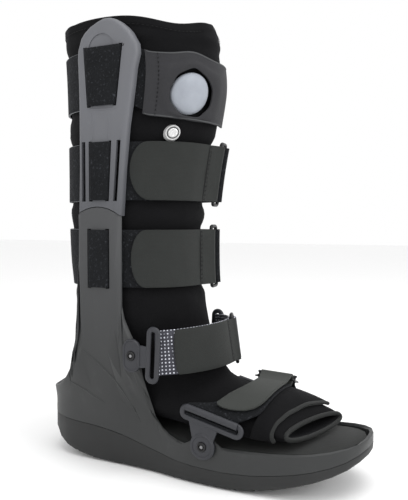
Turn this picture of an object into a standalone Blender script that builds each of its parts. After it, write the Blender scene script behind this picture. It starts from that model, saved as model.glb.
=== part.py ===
"""Tall medical walking boot: rocker outsole, moulded shell with two uprights, upper struts, footbed,
padded open-toe liner, three leg straps, an ankle strap and a forefoot strap with their loops and rings,
an inflation bulb and a release valve.

Metres, +Z up, toe towards -Y. The origin lies on the floor under the leg's axis. Right is the wearer's
right, at -X, and left is at +X.
"""

import math
from collections import namedtuple

import bmesh
import bpy
from mathutils import Matrix, Vector

# Sole, in plan and in side view
SOLE_LENGTH = 0.314
HEEL_REACH = 0.087  # from the leg's axis to the back of the heel
FOREFOOT_WIDTH = 0.108
SOLE_DEPTH = 0.040  # the height that the table's bottom, parting, bed and rim are shares of
HEEL_ROUND = 0.050
TOE_ROUND = 0.058
SOLE_EDGE = 0.005
TREAD_DEPTH = 0.0018
TREAD_GROOVE = 0.004
TREAD_PITCH = 0.017
TREAD_START = 0.0445  # from the heel's end, so that a land lies under the leg's axis
TREAD_END = 0.05

# Shell and uprights
WALL = 0.003
GAP = 0.0004  # between pieces that touch
UPRIGHT_SPAN = 0.126  # across the outer faces of the uprights
UPRIGHT_FRONT = -0.0206
UPRIGHT_BACK = 0.0247
EDGE_RADIUS = 0.005  # rounding of the uprights' edges
RIM_RADIUS = 0.0022  # rounding of the foot part's rim
FLARE_LOW = 0.045
FLARE_HIGH = 0.104
JOINT_Z = 0.2366  # top of the arc where shell and upper strut meet
JOINT_RADIUS = 0.0374
JOINT_GAP = 0.0007
CUT_RADIUS = 0.038  # the round front cut-out over the instep
CUT_LOW = 0.0338
CUT_START = -0.0785
ANKLE_LOW = 0.098
ANKLE_HIGH = 0.150
HEEL_TOP = 0.063
HEEL_SWEEP = 0.064
EAR_Y = -0.098  # the ear that carries the forefoot loop
EAR_RISE = 0.012
EAR_REACH = 0.018

# Upper struts
STRUT_TOP = 0.4015
STRUT_TOP_WIDTH = 0.063
TONGUE = 0.0018
TONGUE_LENGTH = 0.014
TONGUE_WIDTH = 0.0105  # narrow enough to pass between the slots
SLOT_WIDTH = 0.0040

SoleRow = namedtuple("SoleRow", "along width bottom parting bed rim")
SOLE = [  # along is a share of the sole's length from the heel, width of the forefoot's, the rest of SOLE_DEPTH
    SoleRow(0.00, 0.79, 0.62, 0.93, 1.25, 1.35),
    SoleRow(0.04, 0.79, 0.42, 0.92, 1.24, 1.35),
    SoleRow(0.10, 0.79, 0.20, 0.90, 1.22, 1.35),
    SoleRow(0.20, 0.79, 0.03, 0.85, 1.18, 1.35),
    SoleRow(0.28, 0.79, 0.00, 0.77, 1.12, 1.20),
    SoleRow(0.41, 0.84, 0.00, 0.55, 0.98, 1.00),
    SoleRow(0.51, 0.94, 0.00, 0.42, 0.87, 0.87),
    SoleRow(0.57, 0.975, 0.00, 0.39, 0.84, 0.85),
    SoleRow(0.64, 1.00, 0.00, 0.385, 0.85, 0.88),
    SoleRow(0.70, 1.00, 0.03, 0.405, 0.86, 0.89),
    SoleRow(0.785, 0.985, 0.16, 0.49, 0.89, 0.92),
    SoleRow(0.885, 0.95, 0.40, 0.66, 0.97, 1.01),
    SoleRow(0.96, 0.91, 0.64, 0.84, 1.06, 1.11),
    SoleRow(1.00, 0.90, 0.84, 0.99, 1.12, 1.17),
]

# Upper struts in side view: height as a share of STRUT_TOP, edges as shares of STRUT_TOP_WIDTH
StrutRow = namedtuple("StrutRow", "height front back")
STRUT = [
    StrutRow(1.000, -0.165, -0.060),
    StrutRow(0.995, -0.262, 0.040),
    StrutRow(0.987, -0.348, 0.150),
    StrutRow(0.975, -0.441, 0.250),
    StrutRow(0.963, -0.513, 0.313),
    StrutRow(0.937, -0.613, 0.370),
    StrutRow(0.918, -0.624, 0.379),
    StrutRow(0.887, -0.573, 0.371),
    StrutRow(0.852, -0.543, 0.363),
    StrutRow(0.819, -0.510, 0.359),
    StrutRow(0.764, -0.451, 0.359),
    StrutRow(0.672, -0.390, 0.359),
    StrutRow(0.540, -0.327, 0.375),
]

# Straps and their slots: height of the lower edge, the slots' y at the bottom and at the top
STRAP_WIDTH = 0.051
STRAP_THICKNESS = 0.002
STRAP_LIFT = 0.0024  # from the liner to the middle of the strap
TAB_THICKNESS = 0.0018
RING_RADIUS = 0.0017
RING_SPAN = 0.0104  # between the ring's two bars
LegStrap = namedtuple("LegStrap", "low front_low front_high back_low back_high stand drop")
TOP_STRAP = LegStrap(0.3254, -0.0166, -0.0235, 0.0101, 0.0137, 0.0, 0.0105)
MIDDLE_STRAP = LegStrap(0.2428, -0.0084, -0.0114, 0.0086, 0.0086, 0.009, 0.0)
LOWER_STRAP = LegStrap(0.1658, -0.0085, -0.0085, 0.0107, 0.0107, 0.009, 0.0)
STAND_START, STAND_PEAK, STAND_END = 12.0, -24.0, -58.0  # where straps leave the leg, turn and meet it again
DROP_REACH = 100.0  # the angle at which the top strap's fall towards the front begins
DROP_START, DROP_FULL = 78.0, 62.0
RING_ANGLE = -21.0  # round the leg from its front, negative towards the far side
TAB_START = -0.0262  # y of a tab's round end
COVER_START = -0.0415
COVER_END = -20.0
COVER_RISE = 0.004
COVER_LIP = 0.0035  # how far the cover reaches below the strap
BULB_ANGLE, BULB_Z, BULB_RADIUS, BULB_DEPTH = 31.0, 0.3355, 0.0180, 0.0080
VALVE_ANGLE, VALVE_Z, VALVE_RADIUS, VALVE_DEPTH = 42.0, 0.3012, 0.0068, 0.0055
DISC_Y, DISC_Z, DISC_RADIUS, DISC_DEPTH = -0.0033, 0.3745, 0.0133, 0.0008

# Ankle loops and strap
LOOP_THICKNESS = 0.0034
ANKLE_RIVET = (-0.0348, 0.1083)
ANKLE_FRAME = (-0.0557, 0.1102)
ANKLE_FRAME_WIDTH, ANKLE_FRAME_HEIGHT = 0.0134, 0.0494
ANKLE_SLOT_WIDTH, ANKLE_SLOT_HEIGHT = 0.0036, 0.0415
ANKLE_STRAP_WIDTH = 0.0385
ANKLE_MIDDLE_Y, ANKLE_BULGE_HIGH, ANKLE_BULGE_LOW = -0.045, 0.0455, 0.052
ANKLE_RISE = 0.004
ANKLE_RING_ANGLE, ANKLE_TAB_ANGLE = -25.0, 60.0

# Forefoot loops and strap
FORE_RIVET = (-0.0983, 0.0355)
FORE_RIVET_RADIUS = 0.0114
FORE_FRAME = (-0.1063, 0.0577)
FORE_FRAME_LENGTH, FORE_FRAME_WIDTH, FORE_TILT = 0.060, 0.0138, 13.4
FORE_SLOT_LENGTH, FORE_SLOT_WIDTH, FORE_SLOT_DROP = 0.051, 0.0036, 0.0012
FORE_REAR_ROW, FORE_FRONT_ROW = 14.0, 16.1
FORE_LIFT = 0.0066
FORE_TURN = 1.5  # how much wider the turn round the ring is, where the surface falls away
FORE_TAB_ANGLE, FORE_RING_ANGLE = 52.0, -38.0
RIVET_RADIUS = 0.0046

# Toe flap, in rows of the liner's table
FLAP_ROWS = (16.0, 16.4, 16.8, 17.2, 17.6, 18.0)
FLAP_WALL = 0.0026
FLAP_LIFT = 0.0036

# Liner
LINER_WALL = 0.007
TOE_WALL = 0.0028  # the liner's thin open end
TOE_WALL_ROW = 14
SEAM_ROW = 9  # where the liner's leg and foot are sewn together
TOE_SLANT = 0.27  # how much further forward the open end is on the big toe's side, for each unit across
RIM_DIP, RIM_DIP_ANGLE = 0.008, 38.0
LINER_SEGMENTS = 28
LINER_WIDTH = UPRIGHT_SPAN - 0.003
LinerRow = namedtuple("LinerRow", "front_y front_z back_y back_z half")
BOOT_HEIGHT = 0.411
LINER = [  # y as shares of HEEL_REACH, z of BOOT_HEIGHT, half of LINER_WIDTH
    LinerRow(-0.886, 0.981, 0.794, 0.985, 0.425),
    LinerRow(-0.940, 0.940, 0.778, 0.942, 0.430),
    LinerRow(-0.972, 0.865, 0.756, 0.865, 0.430),
    LinerRow(-0.881, 0.755, 0.735, 0.755, 0.430),
    LinerRow(-0.789, 0.657, 0.724, 0.657, 0.430),
    LinerRow(-0.729, 0.560, 0.719, 0.560, 0.430),
    LinerRow(-0.719, 0.462, 0.697, 0.455, 0.430),
    LinerRow(-0.735, 0.390, 0.659, 0.365, 0.430),
    LinerRow(-0.783, 0.330, 0.681, 0.280, 0.425),
    LinerRow(-0.854, 0.291, 0.762, 0.200, 0.400),
    LinerRow(-0.929, 0.260, 0.886, 0.148, 0.352),
    LinerRow(-1.010, 0.233, 0.756, 0.121, 0.325),
    LinerRow(-1.102, 0.211, 0.411, 0.118, 0.330),
    LinerRow(-1.210, 0.195, 0.022, 0.112, 0.352),
    LinerRow(-1.340, 0.184, -0.519, 0.101, 0.362),
    LinerRow(-1.491, 0.178, -1.080, 0.089, 0.376),
    LinerRow(-1.686, 0.173, -1.545, 0.087, 0.380),
    LinerRow(-1.820, 0.163, -1.800, 0.090, 0.376),
    LinerRow(-1.925, 0.146, -1.990, 0.096, 0.364),
    LinerRow(-1.995, 0.131, -2.110, 0.102, 0.350),
]


def clear_scene():
    for old in list(bpy.data.objects):
        bpy.data.objects.remove(old, do_unlink=True)


def collection(name):
    made = bpy.data.collections.new(name)
    bpy.context.scene.collection.children.link(made)
    return made


clear_scene()
PARTS = collection("walking_boot")
CUTTERS = collection("cutters")


def material(name, colour, roughness, metallic=0.0):
    made = bpy.data.materials.new(name)
    made.use_nodes = True
    shader = made.node_tree.nodes["Principled BSDF"]
    shader.inputs["Base Color"].default_value = (*colour, 1.0)
    shader.inputs["Roughness"].default_value = roughness
    shader.inputs["Metallic"].default_value = metallic
    return made


SHELL_PLASTIC = material("shell_plastic", (0.075, 0.077, 0.08), 0.5)
SOLE_RUBBER = material("sole_rubber", (0.06, 0.062, 0.062), 0.65)
FOAM = material("footbed_foam", (0.045, 0.048, 0.047), 0.85)
FLEECE = material("liner_fleece", (0.012, 0.012, 0.013), 0.95)
LOOP_TAPE = material("loop_tape", (0.02, 0.021, 0.024), 0.95)
WEBBING = material("webbing", (0.05, 0.053, 0.05), 0.8)
BLACK_PLASTIC = material("black_plastic", (0.02, 0.02, 0.022), 0.4)
RIVET_METAL = material("rivet_metal", (0.5, 0.5, 0.5), 0.35, 0.9)
PALE_VINYL = material("pale_vinyl", (0.58, 0.6, 0.63), 0.5)
VALVE_METAL = material("valve_metal", (0.75, 0.76, 0.76), 0.25, 0.6)


# Values read off the tables


def smooth_read(rows, at, column, key):
    """The column's value at a place between rows, on a curve that never overshoots them."""
    places = [getattr(row, key) for row in rows]
    values = [getattr(row, column) for row in rows]
    if at <= places[0]:
        return values[0]
    if at >= places[-1]:
        return values[-1]
    slopes = [(values[i + 1] - values[i]) / (places[i + 1] - places[i]) for i in range(len(rows) - 1)]

    def tangent(i):
        if i == 0:
            return slopes[0]
        if i == len(rows) - 1:
            return slopes[-1]
        before, after = slopes[i - 1], slopes[i]
        return 0.0 if before * after <= 0 else 2 * before * after / (before + after)

    i = max(k for k in range(len(rows) - 1) if places[k] <= at)
    span = places[i + 1] - places[i]
    t = (at - places[i]) / span
    return (
        values[i] * (1 + 2 * t) * (1 - t) ** 2
        + tangent(i) * span * t * (1 - t) ** 2
        + values[i + 1] * t * t * (3 - 2 * t)
        + tangent(i + 1) * span * t * t * (t - 1)
    )


def smoothstep(low, high, value):
    t = min(1.0, max(0.0, (value - low) / (high - low)))
    return t * t * (3 - 2 * t)


def sole_height(y, column):
    return SOLE_DEPTH * smooth_read(SOLE, (HEEL_REACH - y) / SOLE_LENGTH, column, "along")


def end_factor(y, inset=0.0):
    """How far the outline has rounded off towards the heel and the toe: 0 at an end, 1 along the sides."""
    heel = min(1.0, max(0.0, (HEEL_REACH - inset - y) / HEEL_ROUND))
    toe = min(1.0, max(0.0, (y - inset + SOLE_LENGTH - HEEL_REACH) / TOE_ROUND))
    return (1 - (1 - heel) ** 2.1) ** (1 / 2.1) * (1 - (1 - toe) ** 2.5) ** (1 / 2.5)


def base_half(y, inset=0.0):
    share = smooth_read(SOLE, (HEEL_REACH - y) / SOLE_LENGTH, "width", "along")
    return FOREFOOT_WIDTH / 2 * share - inset


def sole_half(y, inset=0.0):
    return base_half(y, inset) * end_factor(y, inset)


def sole_stations(inset=0.0, end_steps=6, side_steps=11):
    """Places along the sole, from heel to toe, closer together at the round ends."""
    back = HEEL_REACH - inset
    front = HEEL_REACH - SOLE_LENGTH + inset
    heel = [back - HEEL_ROUND * (1 - math.cos(math.radians(90 * (i + 0.55) / end_steps))) for i in range(end_steps)]
    toe = [front + TOE_ROUND * (1 - math.cos(math.radians(90 * (i + 0.55) / end_steps))) for i in range(end_steps)]
    first, last = heel[-1], toe[-1]
    side = [first + (last - first) * (i + 1) / (side_steps + 1) for i in range(side_steps)]
    return heel + side + toe[::-1]


# Meshes and modifiers


def mesh_object(name, points, faces, finish, into=PARTS):
    mesh = bpy.data.meshes.new(name)
    mesh.from_pydata([tuple(p) for p in points], [], faces)
    mesh.validate()
    tidy = bmesh.new()
    tidy.from_mesh(mesh)
    bmesh.ops.remove_doubles(tidy, verts=tidy.verts, dist=1e-6)
    bmesh.ops.recalc_face_normals(tidy, faces=tidy.faces)
    tidy.to_mesh(mesh)
    tidy.free()
    made = bpy.data.objects.new(name, mesh)
    into.objects.link(made)
    if finish:
        mesh.materials.append(finish)
    return made


def cutter(name, points, faces):
    made = mesh_object(name, points, faces, None, CUTTERS)
    made.hide_render = True
    made.display_type = "WIRE"
    return made


def loft(rings, cap=True, closed=True):
    """Points and faces through rings of equal counts."""
    count = len(rings[0])
    points = [p for ring in rings for p in ring]
    faces = []
    for r in range(len(rings) - 1):
        for i in range(count if closed else count - 1):
            j = (i + 1) % count
            faces.append((r * count + i, r * count + j, (r + 1) * count + j, (r + 1) * count + i))
    if cap:
        faces.append(tuple(reversed(range(count))))
        faces.append(tuple(range((len(rings) - 1) * count, len(rings) * count)))
    return points, faces


def prism(outline, low, high, axis):
    """A closed outline of pairs, extruded along an axis: pairs are (y, z) for X and (x, y) for Z."""
    place = {
        "X": lambda p, at: (at, p[0], p[1]),
        "Z": lambda p, at: (p[0], p[1], at),
    }[axis]
    return loft([[place(p, low) for p in outline], [place(p, high) for p in outline]])


def solidify(target, thickness, offset, even=True):
    """offset -1 grows inwards from the surface, 1 outwards, 0 both ways."""
    made = target.modifiers.new("thickness", "SOLIDIFY")
    made.thickness = thickness
    made.offset = offset
    made.use_even_offset = even
    made.use_quality_normals = even
    return made


def boolean(target, other, operation="DIFFERENCE"):
    made = target.modifiers.new(f"{operation.lower()}_{other.name}", "BOOLEAN")
    made.operation = operation
    made.object = other
    made.solver = "EXACT"
    if operation == "UNION":
        made.use_self = False
    return made


def shade(target, angle=35):
    target.data.shade_smooth()
    target.data.set_sharp_from_angle(angle=math.radians(angle))


# Outsole and footbed


def outsole():
    """The rocker sole under the shell, with a rounded lower edge and cross grooves."""
    rings = []
    for y in sole_stations():
        half = sole_half(y)
        edge = min(SOLE_EDGE, 0.4 * half)
        low = sole_height(y, "bottom")
        high = sole_height(y, "parting") - GAP
        side = [(half - edge, low), (half - 0.3 * edge, low + 0.3 * edge), (half, low + edge), (half, high)]
        ring = [(-x, y, z) for x, z in reversed(side)] + [(x, y, z) for x, z in side]
        rings.append(ring)
    points, faces = loft(rings)
    made = mesh_object("outsole", points, faces, SOLE_RUBBER)
    grooves = tread_cutter()
    boolean(made, grooves)
    shade(made)


def tread_cutter():
    points, faces = [], []
    first = HEEL_REACH - TREAD_START
    last = HEEL_REACH - SOLE_LENGTH + TREAD_END
    count = int((first - last) / TREAD_PITCH)
    for i in range(count):
        y = first - i * TREAD_PITCH
        floor = max(sole_height(y + s * TREAD_GROOVE / 2, "bottom") for s in (-1, 1)) + TREAD_DEPTH
        reach = FOREFOOT_WIDTH
        outline = [
            (y - TREAD_GROOVE / 2, -0.02),
            (y + TREAD_GROOVE / 2, -0.02),
            (y + TREAD_GROOVE / 2, floor),
            (y - TREAD_GROOVE / 2, floor),
        ]
        p, f = prism(outline, -reach, reach, "X")
        faces += [tuple(k + len(points) for k in face) for face in f]
        points += p
    return cutter("tread_cutter", points, faces)


def footbed():
    """The foam bed inside the shell; its top shows at the toe."""
    inset = 1.5 * WALL + GAP
    rings = []
    for y in sole_stations(inset):
        half = sole_half(y, inset)
        edge = min(0.003, 0.3 * half)
        low = sole_height(y, "parting") + 1.2 * WALL + GAP
        high = sole_height(y, "bed")
        side = [(half, low), (half, high - edge), (half - edge, high)]
        rings.append([(-x, y, z) for x, z in reversed(side)] + [(x, y, z) for x, z in side])
    points, faces = loft(rings)
    shade(mesh_object("footbed", points, faces, FOAM))


# Shell


def ear(y):
    reach = min(1.0, abs(y - EAR_Y) / EAR_REACH)
    return EAR_RISE * math.cos(math.pi / 2 * reach) ** 2


def upright_front(z):
    """The upright's front edge, which swells forward at the ankle."""
    forward = CUT_START + CUT_RADIUS
    return forward + (UPRIGHT_FRONT - forward) * smoothstep(ANKLE_LOW, ANKLE_HIGH, z)


def front_distance(y, z):
    """Distance from a point of the side wall to its front edge."""
    cut_z = CUT_LOW + CUT_RADIUS
    if z >= cut_z:
        return y - upright_front(z)
    if y <= CUT_START:
        return sole_height(y, "rim") + ear(y) - z
    return math.hypot(y - CUT_START, z - cut_z) - CUT_RADIUS


def back_distance(y, z):
    """Distance from a point of the side wall to its rear edge."""
    sweep_z = HEEL_TOP + HEEL_SWEEP
    reach = HEEL_REACH - UPRIGHT_BACK
    if z >= sweep_z:
        return UPRIGHT_BACK - y
    q = math.hypot((HEEL_REACH - y) / reach, (sweep_z - z) / HEEL_SWEEP)
    return (q - 1) * (reach + HEEL_SWEEP) / 2


def rounding(distance, radius):
    if distance >= radius:
        return 0.0
    inside = radius - max(0.0, distance)
    return radius - math.sqrt(max(0.0, radius * radius - inside * inside))


def wall_half(y, z):
    """Half the width across the shell's outer faces at a place of the side view."""
    flare = smoothstep(FLARE_LOW, FLARE_HIGH, z)
    plain = base_half(y) + (UPRIGHT_SPAN / 2 - base_half(y)) * flare
    radius = RIM_RADIUS + (EDGE_RADIUS - RIM_RADIUS) * smoothstep(0.08, 0.13, z)
    near_edge = rounding(front_distance(y, z), radius) + rounding(back_distance(y, z), radius)
    return max(0.0, plain * end_factor(y) - near_edge * min(1.0, end_factor(y) * 1.5))


def joint_arc(y, radius=JOINT_RADIUS, top=JOINT_Z):
    middle = (UPRIGHT_FRONT + UPRIGHT_BACK) / 2
    return top - radius + math.sqrt(radius * radius - (y - middle) ** 2)


def shell_edge():
    """The shell's upper edge in side view, as (y, z), from the toe's tip to the back of the heel."""
    tip = HEEL_REACH - SOLE_LENGTH
    toe = [y for y in sole_stations()[::-1] if y < CUT_START - 0.002]
    ear_steps = [EAR_Y + EAR_REACH * s for s in (-0.9, -0.6, -0.3, 0.0, 0.3, 0.6)]
    rim_places = sorted([tip] + [y for y in toe if abs(y - EAR_Y) > EAR_REACH] + ear_steps)
    edge = [(y, sole_height(y, "rim") + ear(y)) for y in rim_places]
    cut_z = CUT_LOW + CUT_RADIUS
    for i in range(8):
        a = math.radians(90 * i / 7)
        edge.append((CUT_START + CUT_RADIUS * math.sin(a), cut_z - CUT_RADIUS * math.cos(a)))
    for z in (ANKLE_LOW, 0.111, 0.121, 0.130, 0.139, ANKLE_HIGH, 0.178, 0.205):
        edge.append((upright_front(z), z))
    width = UPRIGHT_BACK - UPRIGHT_FRONT
    for share in (0.0, 0.033, 0.11, 0.24, 0.37, 0.5, 0.63, 0.76, 0.89, 0.967, 1.0):
        y = UPRIGHT_FRONT + width * share
        edge.append((y, joint_arc(y)))
    for z in (0.205, 0.178, 0.150):
        edge.append((UPRIGHT_BACK, z))
    sweep_z = HEEL_TOP + HEEL_SWEEP
    for i in range(11):
        a = math.radians(90 * i / 10)
        edge.append((HEEL_REACH - (HEEL_REACH - UPRIGHT_BACK) * math.cos(a), sweep_z - HEEL_SWEEP * math.sin(a)))
    return edge


def shell():
    """One moulded piece: floor, toe rim, heel cup and both uprights, modelled as its right half."""
    edge = shell_edge()
    first_fan = next(i for i, (y, z) in enumerate(edge) if y >= CUT_START - 1e-9)
    lengths = [0.0]
    for a, b in zip(edge[first_fan:], edge[first_fan + 1 :]):
        lengths.append(lengths[-1] + math.dist(a, b))
    points, faces = [], []
    rows = (0.0, 0.2, 0.4, 0.6, 0.8)
    columns = []
    for i, (y, z) in enumerate(edge):
        foot_y = y
        if i >= first_fan:
            foot_y = CUT_START + (HEEL_REACH - CUT_START) * lengths[i - first_fan] / lengths[-1]
        foot_z = sole_height(foot_y, "parting")
        start, end = Vector((foot_y, foot_z)), Vector((y, z))
        length = (end - start).length
        bend = min(EDGE_RADIUS, 0.3 * length)
        places = [row * (length - bend) for row in rows]
        places += [length - bend, length - 0.3 * bend, length]
        column = []
        for place in places:
            at = start + (end - start) * (place / length)
            column.append((-wall_half(at.x, at.y), at.x, at.y))
        columns.append([(0.0, foot_y, foot_z)] + column)
    return columns


def shell_object():
    columns = shell()
    count = len(columns[0])
    points = [p for column in columns for p in column]
    faces = []
    for c in range(len(columns) - 1):
        for r in range(count - 1):
            a, b = c * count + r, (c + 1) * count + r
            faces.append((a, a + 1, b + 1, b))
    mesh = bpy.data.meshes.new("shell")
    mesh.from_pydata(points, [], faces)
    tidy = bmesh.new()
    tidy.from_mesh(mesh)
    for vertex in tidy.verts:
        if abs(vertex.co.x) < 1e-5:
            vertex.co.x = 0.0
    bmesh.ops.remove_doubles(tidy, verts=tidy.verts, dist=2e-5)
    bmesh.ops.dissolve_degenerate(tidy, edges=tidy.edges, dist=1e-5)
    tidy.to_mesh(mesh)
    tidy.free()
    mesh.materials.append(SHELL_PLASTIC)
    made = bpy.data.objects.new("shell", mesh)
    PARTS.objects.link(made)
    mirror = made.modifiers.new("other_side", "MIRROR")
    mirror.use_axis[0] = True
    mirror.merge_threshold = 0.00005
    mirror.use_clip = True
    solidify(made, WALL, -1, even=False)
    shade(made)
    return made


# Liner


def liner_point(row, angle, lift=0.0):
    """A point of the liner's outer surface: row may lie between rows of the table, angle is from its front."""
    low = min(int(row), len(LINER) - 2)
    share = row - low
    a, b = LINER[low], LINER[low + 1]
    mixed = [p + (q - p) * share for p, q in zip(a, b)]
    front = Vector((0, mixed[0] * HEEL_REACH, mixed[1] * BOOT_HEIGHT))
    back = Vector((0, mixed[2] * HEEL_REACH, mixed[3] * BOOT_HEIGHT))
    middle, reach = (front + back) / 2, (front - back) / 2
    half = mixed[4] * LINER_WIDTH + lift
    reach *= 1 + lift / reach.length
    c, s = math.cos(math.radians(angle)), math.sin(math.radians(angle))
    across = -half * math.copysign(abs(s) ** 0.94, s)
    slant = -TOE_SLANT * across * smoothstep(16.0, 18.5, row)
    turned = (angle + 180) % 360 - 180
    dip = RIM_DIP * math.exp(-(((abs(turned) - RIM_DIP_ANGLE) / 28) ** 2)) * smoothstep(1.4, 0.0, row)
    return middle + reach * math.copysign(abs(c) ** 0.94, c) + Vector((across, slant, -dip))


def liner(name, side):
    """The liner above its ankle seam, where side is 1, or below it, where side is -1."""
    turns = [360 * i / LINER_SEGMENTS for i in range(LINER_SEGMENTS)]
    points, faces = loft([[liner_point(row, a) for a in turns] for row in range(len(LINER))], cap=False)
    made = mesh_object(name, points, faces, FLEECE)
    wall = made.vertex_groups.new(name="wall")
    for row in range(len(LINER)):
        thin = 1 - (1 - TOE_WALL / LINER_WALL) * smoothstep(TOE_WALL_ROW, len(LINER) - 1, row)
        wall.add(list(range(row * LINER_SEGMENTS, (row + 1) * LINER_SEGMENTS)), thin, "REPLACE")
    solidify(made, LINER_WALL, -1).vertex_group = "wall"
    seam = LINER[SEAM_ROW]
    front = Vector((seam.front_y * HEEL_REACH, seam.front_z * BOOT_HEIGHT + side * GAP / 2))
    back = Vector((seam.back_y * HEEL_REACH, seam.back_z * BOOT_HEIGHT + side * GAP / 2))
    front, back = front + 2 * (front - back), back + (back - front)
    far = -side * BOOT_HEIGHT
    outline = [tuple(front), tuple(back), (back.x, back.y + far), (front.x, front.y + far)]
    points, faces = prism(outline, -LINER_WIDTH, LINER_WIDTH, "X")
    boolean(made, cutter(f"{name}_cutter", points, faces))
    shade(made, 60)


def liner_row(z):
    """The row of the liner's upright part at a height."""
    heights = [row.front_z * BOOT_HEIGHT for row in LINER]
    for i in range(len(heights) - 1):
        if heights[i] >= z >= heights[i + 1]:
            return i + (heights[i] - z) / (heights[i] - heights[i + 1])
    return 0.0


def leg_point(angle, lift, z):
    """A point round the leg at a height: the angle is from the front, positive towards the near side."""
    at = liner_point(liner_row(z), angle, lift)
    return Vector((at.x, at.y, z))


def stand_off(angle):
    """How far, as a share, the middle and lower straps stand off the leg near their rings."""
    if angle > STAND_PEAK:
        return max(0.0, (STAND_START - angle) / (STAND_START - STAND_PEAK)) ** 2
    return smoothstep(STAND_END, STAND_PEAK, angle)


def strap_point(strap, angle, lift, z):
    """A point of a strap beyond its slots: the angle may pass 360 degrees."""
    turned = (angle + 180) % 360 - 180
    falling = max(0.0, 1 - (turned / DROP_REACH) ** 2) * smoothstep(DROP_START, DROP_FULL, abs(turned))
    off = strap.stand * stand_off(turned) if strap.stand else 0.0
    return leg_point(angle, lift + off, z) - Vector((0, 0, strap.drop * falling))


def leg_angle(y, z, side=1):
    """The angle round the leg at which its surface reaches y."""
    low, high = 0.0, 180.0
    for _ in range(30):
        middle = (low + high) / 2
        if leg_point(middle, STRAP_LIFT, z).y < y:
            low = middle
        else:
            high = middle
    return side * low


# Bands


def resample(path, count, skip=0.0):
    """The path as evenly spaced points, after leaving out a length at its start."""
    lengths = [0.0]
    for a, b in zip(path, path[1:]):
        lengths.append(lengths[-1] + (b - a).length)
    made = []
    for i in range(count):
        at = skip + (lengths[-1] - skip) * i / (count - 1)
        k = max(j for j in range(len(path) - 1) if lengths[j] <= at + 1e-12)
        made.append(path[k].lerp(path[k + 1], min(1.0, (at - lengths[k]) / (lengths[k + 1] - lengths[k]))))
    return made


def band(name, rows, thickness, finish):
    points, faces = loft(rows, cap=False, closed=False)
    made = mesh_object(name, points, faces, finish)
    solidify(made, thickness, 0)
    shade(made, 50)
    return made


def turn_corner(before, corner, after, size):
    """Three points that round a corner off."""
    start = corner + (before - corner).normalized() * size
    end = corner + (after - corner).normalized() * size
    return [start, (start + end) / 4 + corner / 2, end]


def through_slots(strap, z, side):
    """The corner points of a strap that passes out through one slot of an upright and in through the other."""
    share = (z - strap.low) / STRAP_WIDTH
    front = strap.front_low + (strap.front_high - strap.front_low) * share
    back = strap.back_low + (strap.back_high - strap.back_low) * share
    outside = UPRIGHT_SPAN / 2 + GAP + STRAP_THICKNESS / 2
    front_angle, back_angle = leg_angle(front, z), leg_angle(back, z)
    inside_front = leg_point(front_angle, STRAP_LIFT, z)
    inside_back = leg_point(back_angle, STRAP_LIFT, z)
    corners = [
        leg_point(leg_angle(front - 0.006, z), STRAP_LIFT, z),
        Vector((inside_front.x, front, z)),
        Vector((-outside, front, z)),
        Vector((-outside, back, z)),
        Vector((inside_back.x, back, z)),
        leg_point(leg_angle(back + 0.006, z), STRAP_LIFT, z),
    ]
    path = [corners[0]]
    for a, b, c in zip(corners, corners[1:], corners[2:]):
        path += turn_corner(a, b, c, 0.0024)
    path.append(corners[-1])
    if side > 0:
        return [Vector((-p.x, p.y, p.z)) for p in path[::-1]], 360 - leg_angle(back + 0.006, z), leg_angle(front - 0.006, z)
    return path, leg_angle(back + 0.006, z), leg_angle(front - 0.006, z)


def bar_lift():
    return STRAP_LIFT + STRAP_THICKNESS / 2 + GAP + RING_RADIUS


def turn_round(point_at, angle, inner, outer, way, start=90):
    """A turn of a strap round a ring's bar, from the outer layer to the inner one."""
    middle, radius = (outer + inner) / 2, (outer - inner) / 2
    length = step_length(point_at, angle)
    made = []
    for step in range(8):
        a = math.radians(start - (start + 90) * step / 7)
        made.append(point_at(angle + way * radius * math.cos(a) / length, middle + radius * math.sin(a)))
    return made


def leg_strap(name, strap, first, last, wraps):
    """A strap round the leg, from the angle first, by the near side and the back, to the angle last."""
    rows = []
    if wraps:
        near_bar, last = ring_bars(RING_ANGLE, strap.low + STRAP_WIDTH / 2)
        first = near_bar + 1.2
    for share in (0.0, 1.0) if wraps else (0.0, 0.5, 1.0):
        z = strap.low + STRAP_WIDTH * share
        near, near_back, near_front = through_slots(strap, z, -1)
        far, far_back, far_front = through_slots(strap, z, 1)
        path = [strap_point(strap, first + (near_front - first) * i / 8, STRAP_LIFT, z) for i in range(8)]
        path += near
        path += [leg_point(near_back + (far_back - near_back) * i / 10, STRAP_LIFT, z) for i in range(1, 10)]
        path += far
        end = 360 + last
        start = 360 - far_front
        path += [strap_point(strap, start + (end - start) * i / 7, STRAP_LIFT, z) for i in range(1, 8)]
        if wraps:
            inner, outer = STRAP_LIFT, 2 * bar_lift() - STRAP_LIFT
            back = turn_round(lambda a, d: strap_point(strap, a, d, z), last, inner, outer, 1)[::-1]
            path += back[1:]
            path.append(strap_point(strap, last - 9, outer * 0.8, z))
        rows.append(path)
    band(name, rows, STRAP_THICKNESS, LOOP_TAPE)


def step_length(point_at, angle):
    """The length of one degree of a band's way."""
    return (point_at(angle + 0.5, STRAP_LIFT) - point_at(angle - 0.5, STRAP_LIFT)).length


def per_degree(angle, z):
    return step_length(lambda a, d: leg_point(a, d, z), angle)


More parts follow.
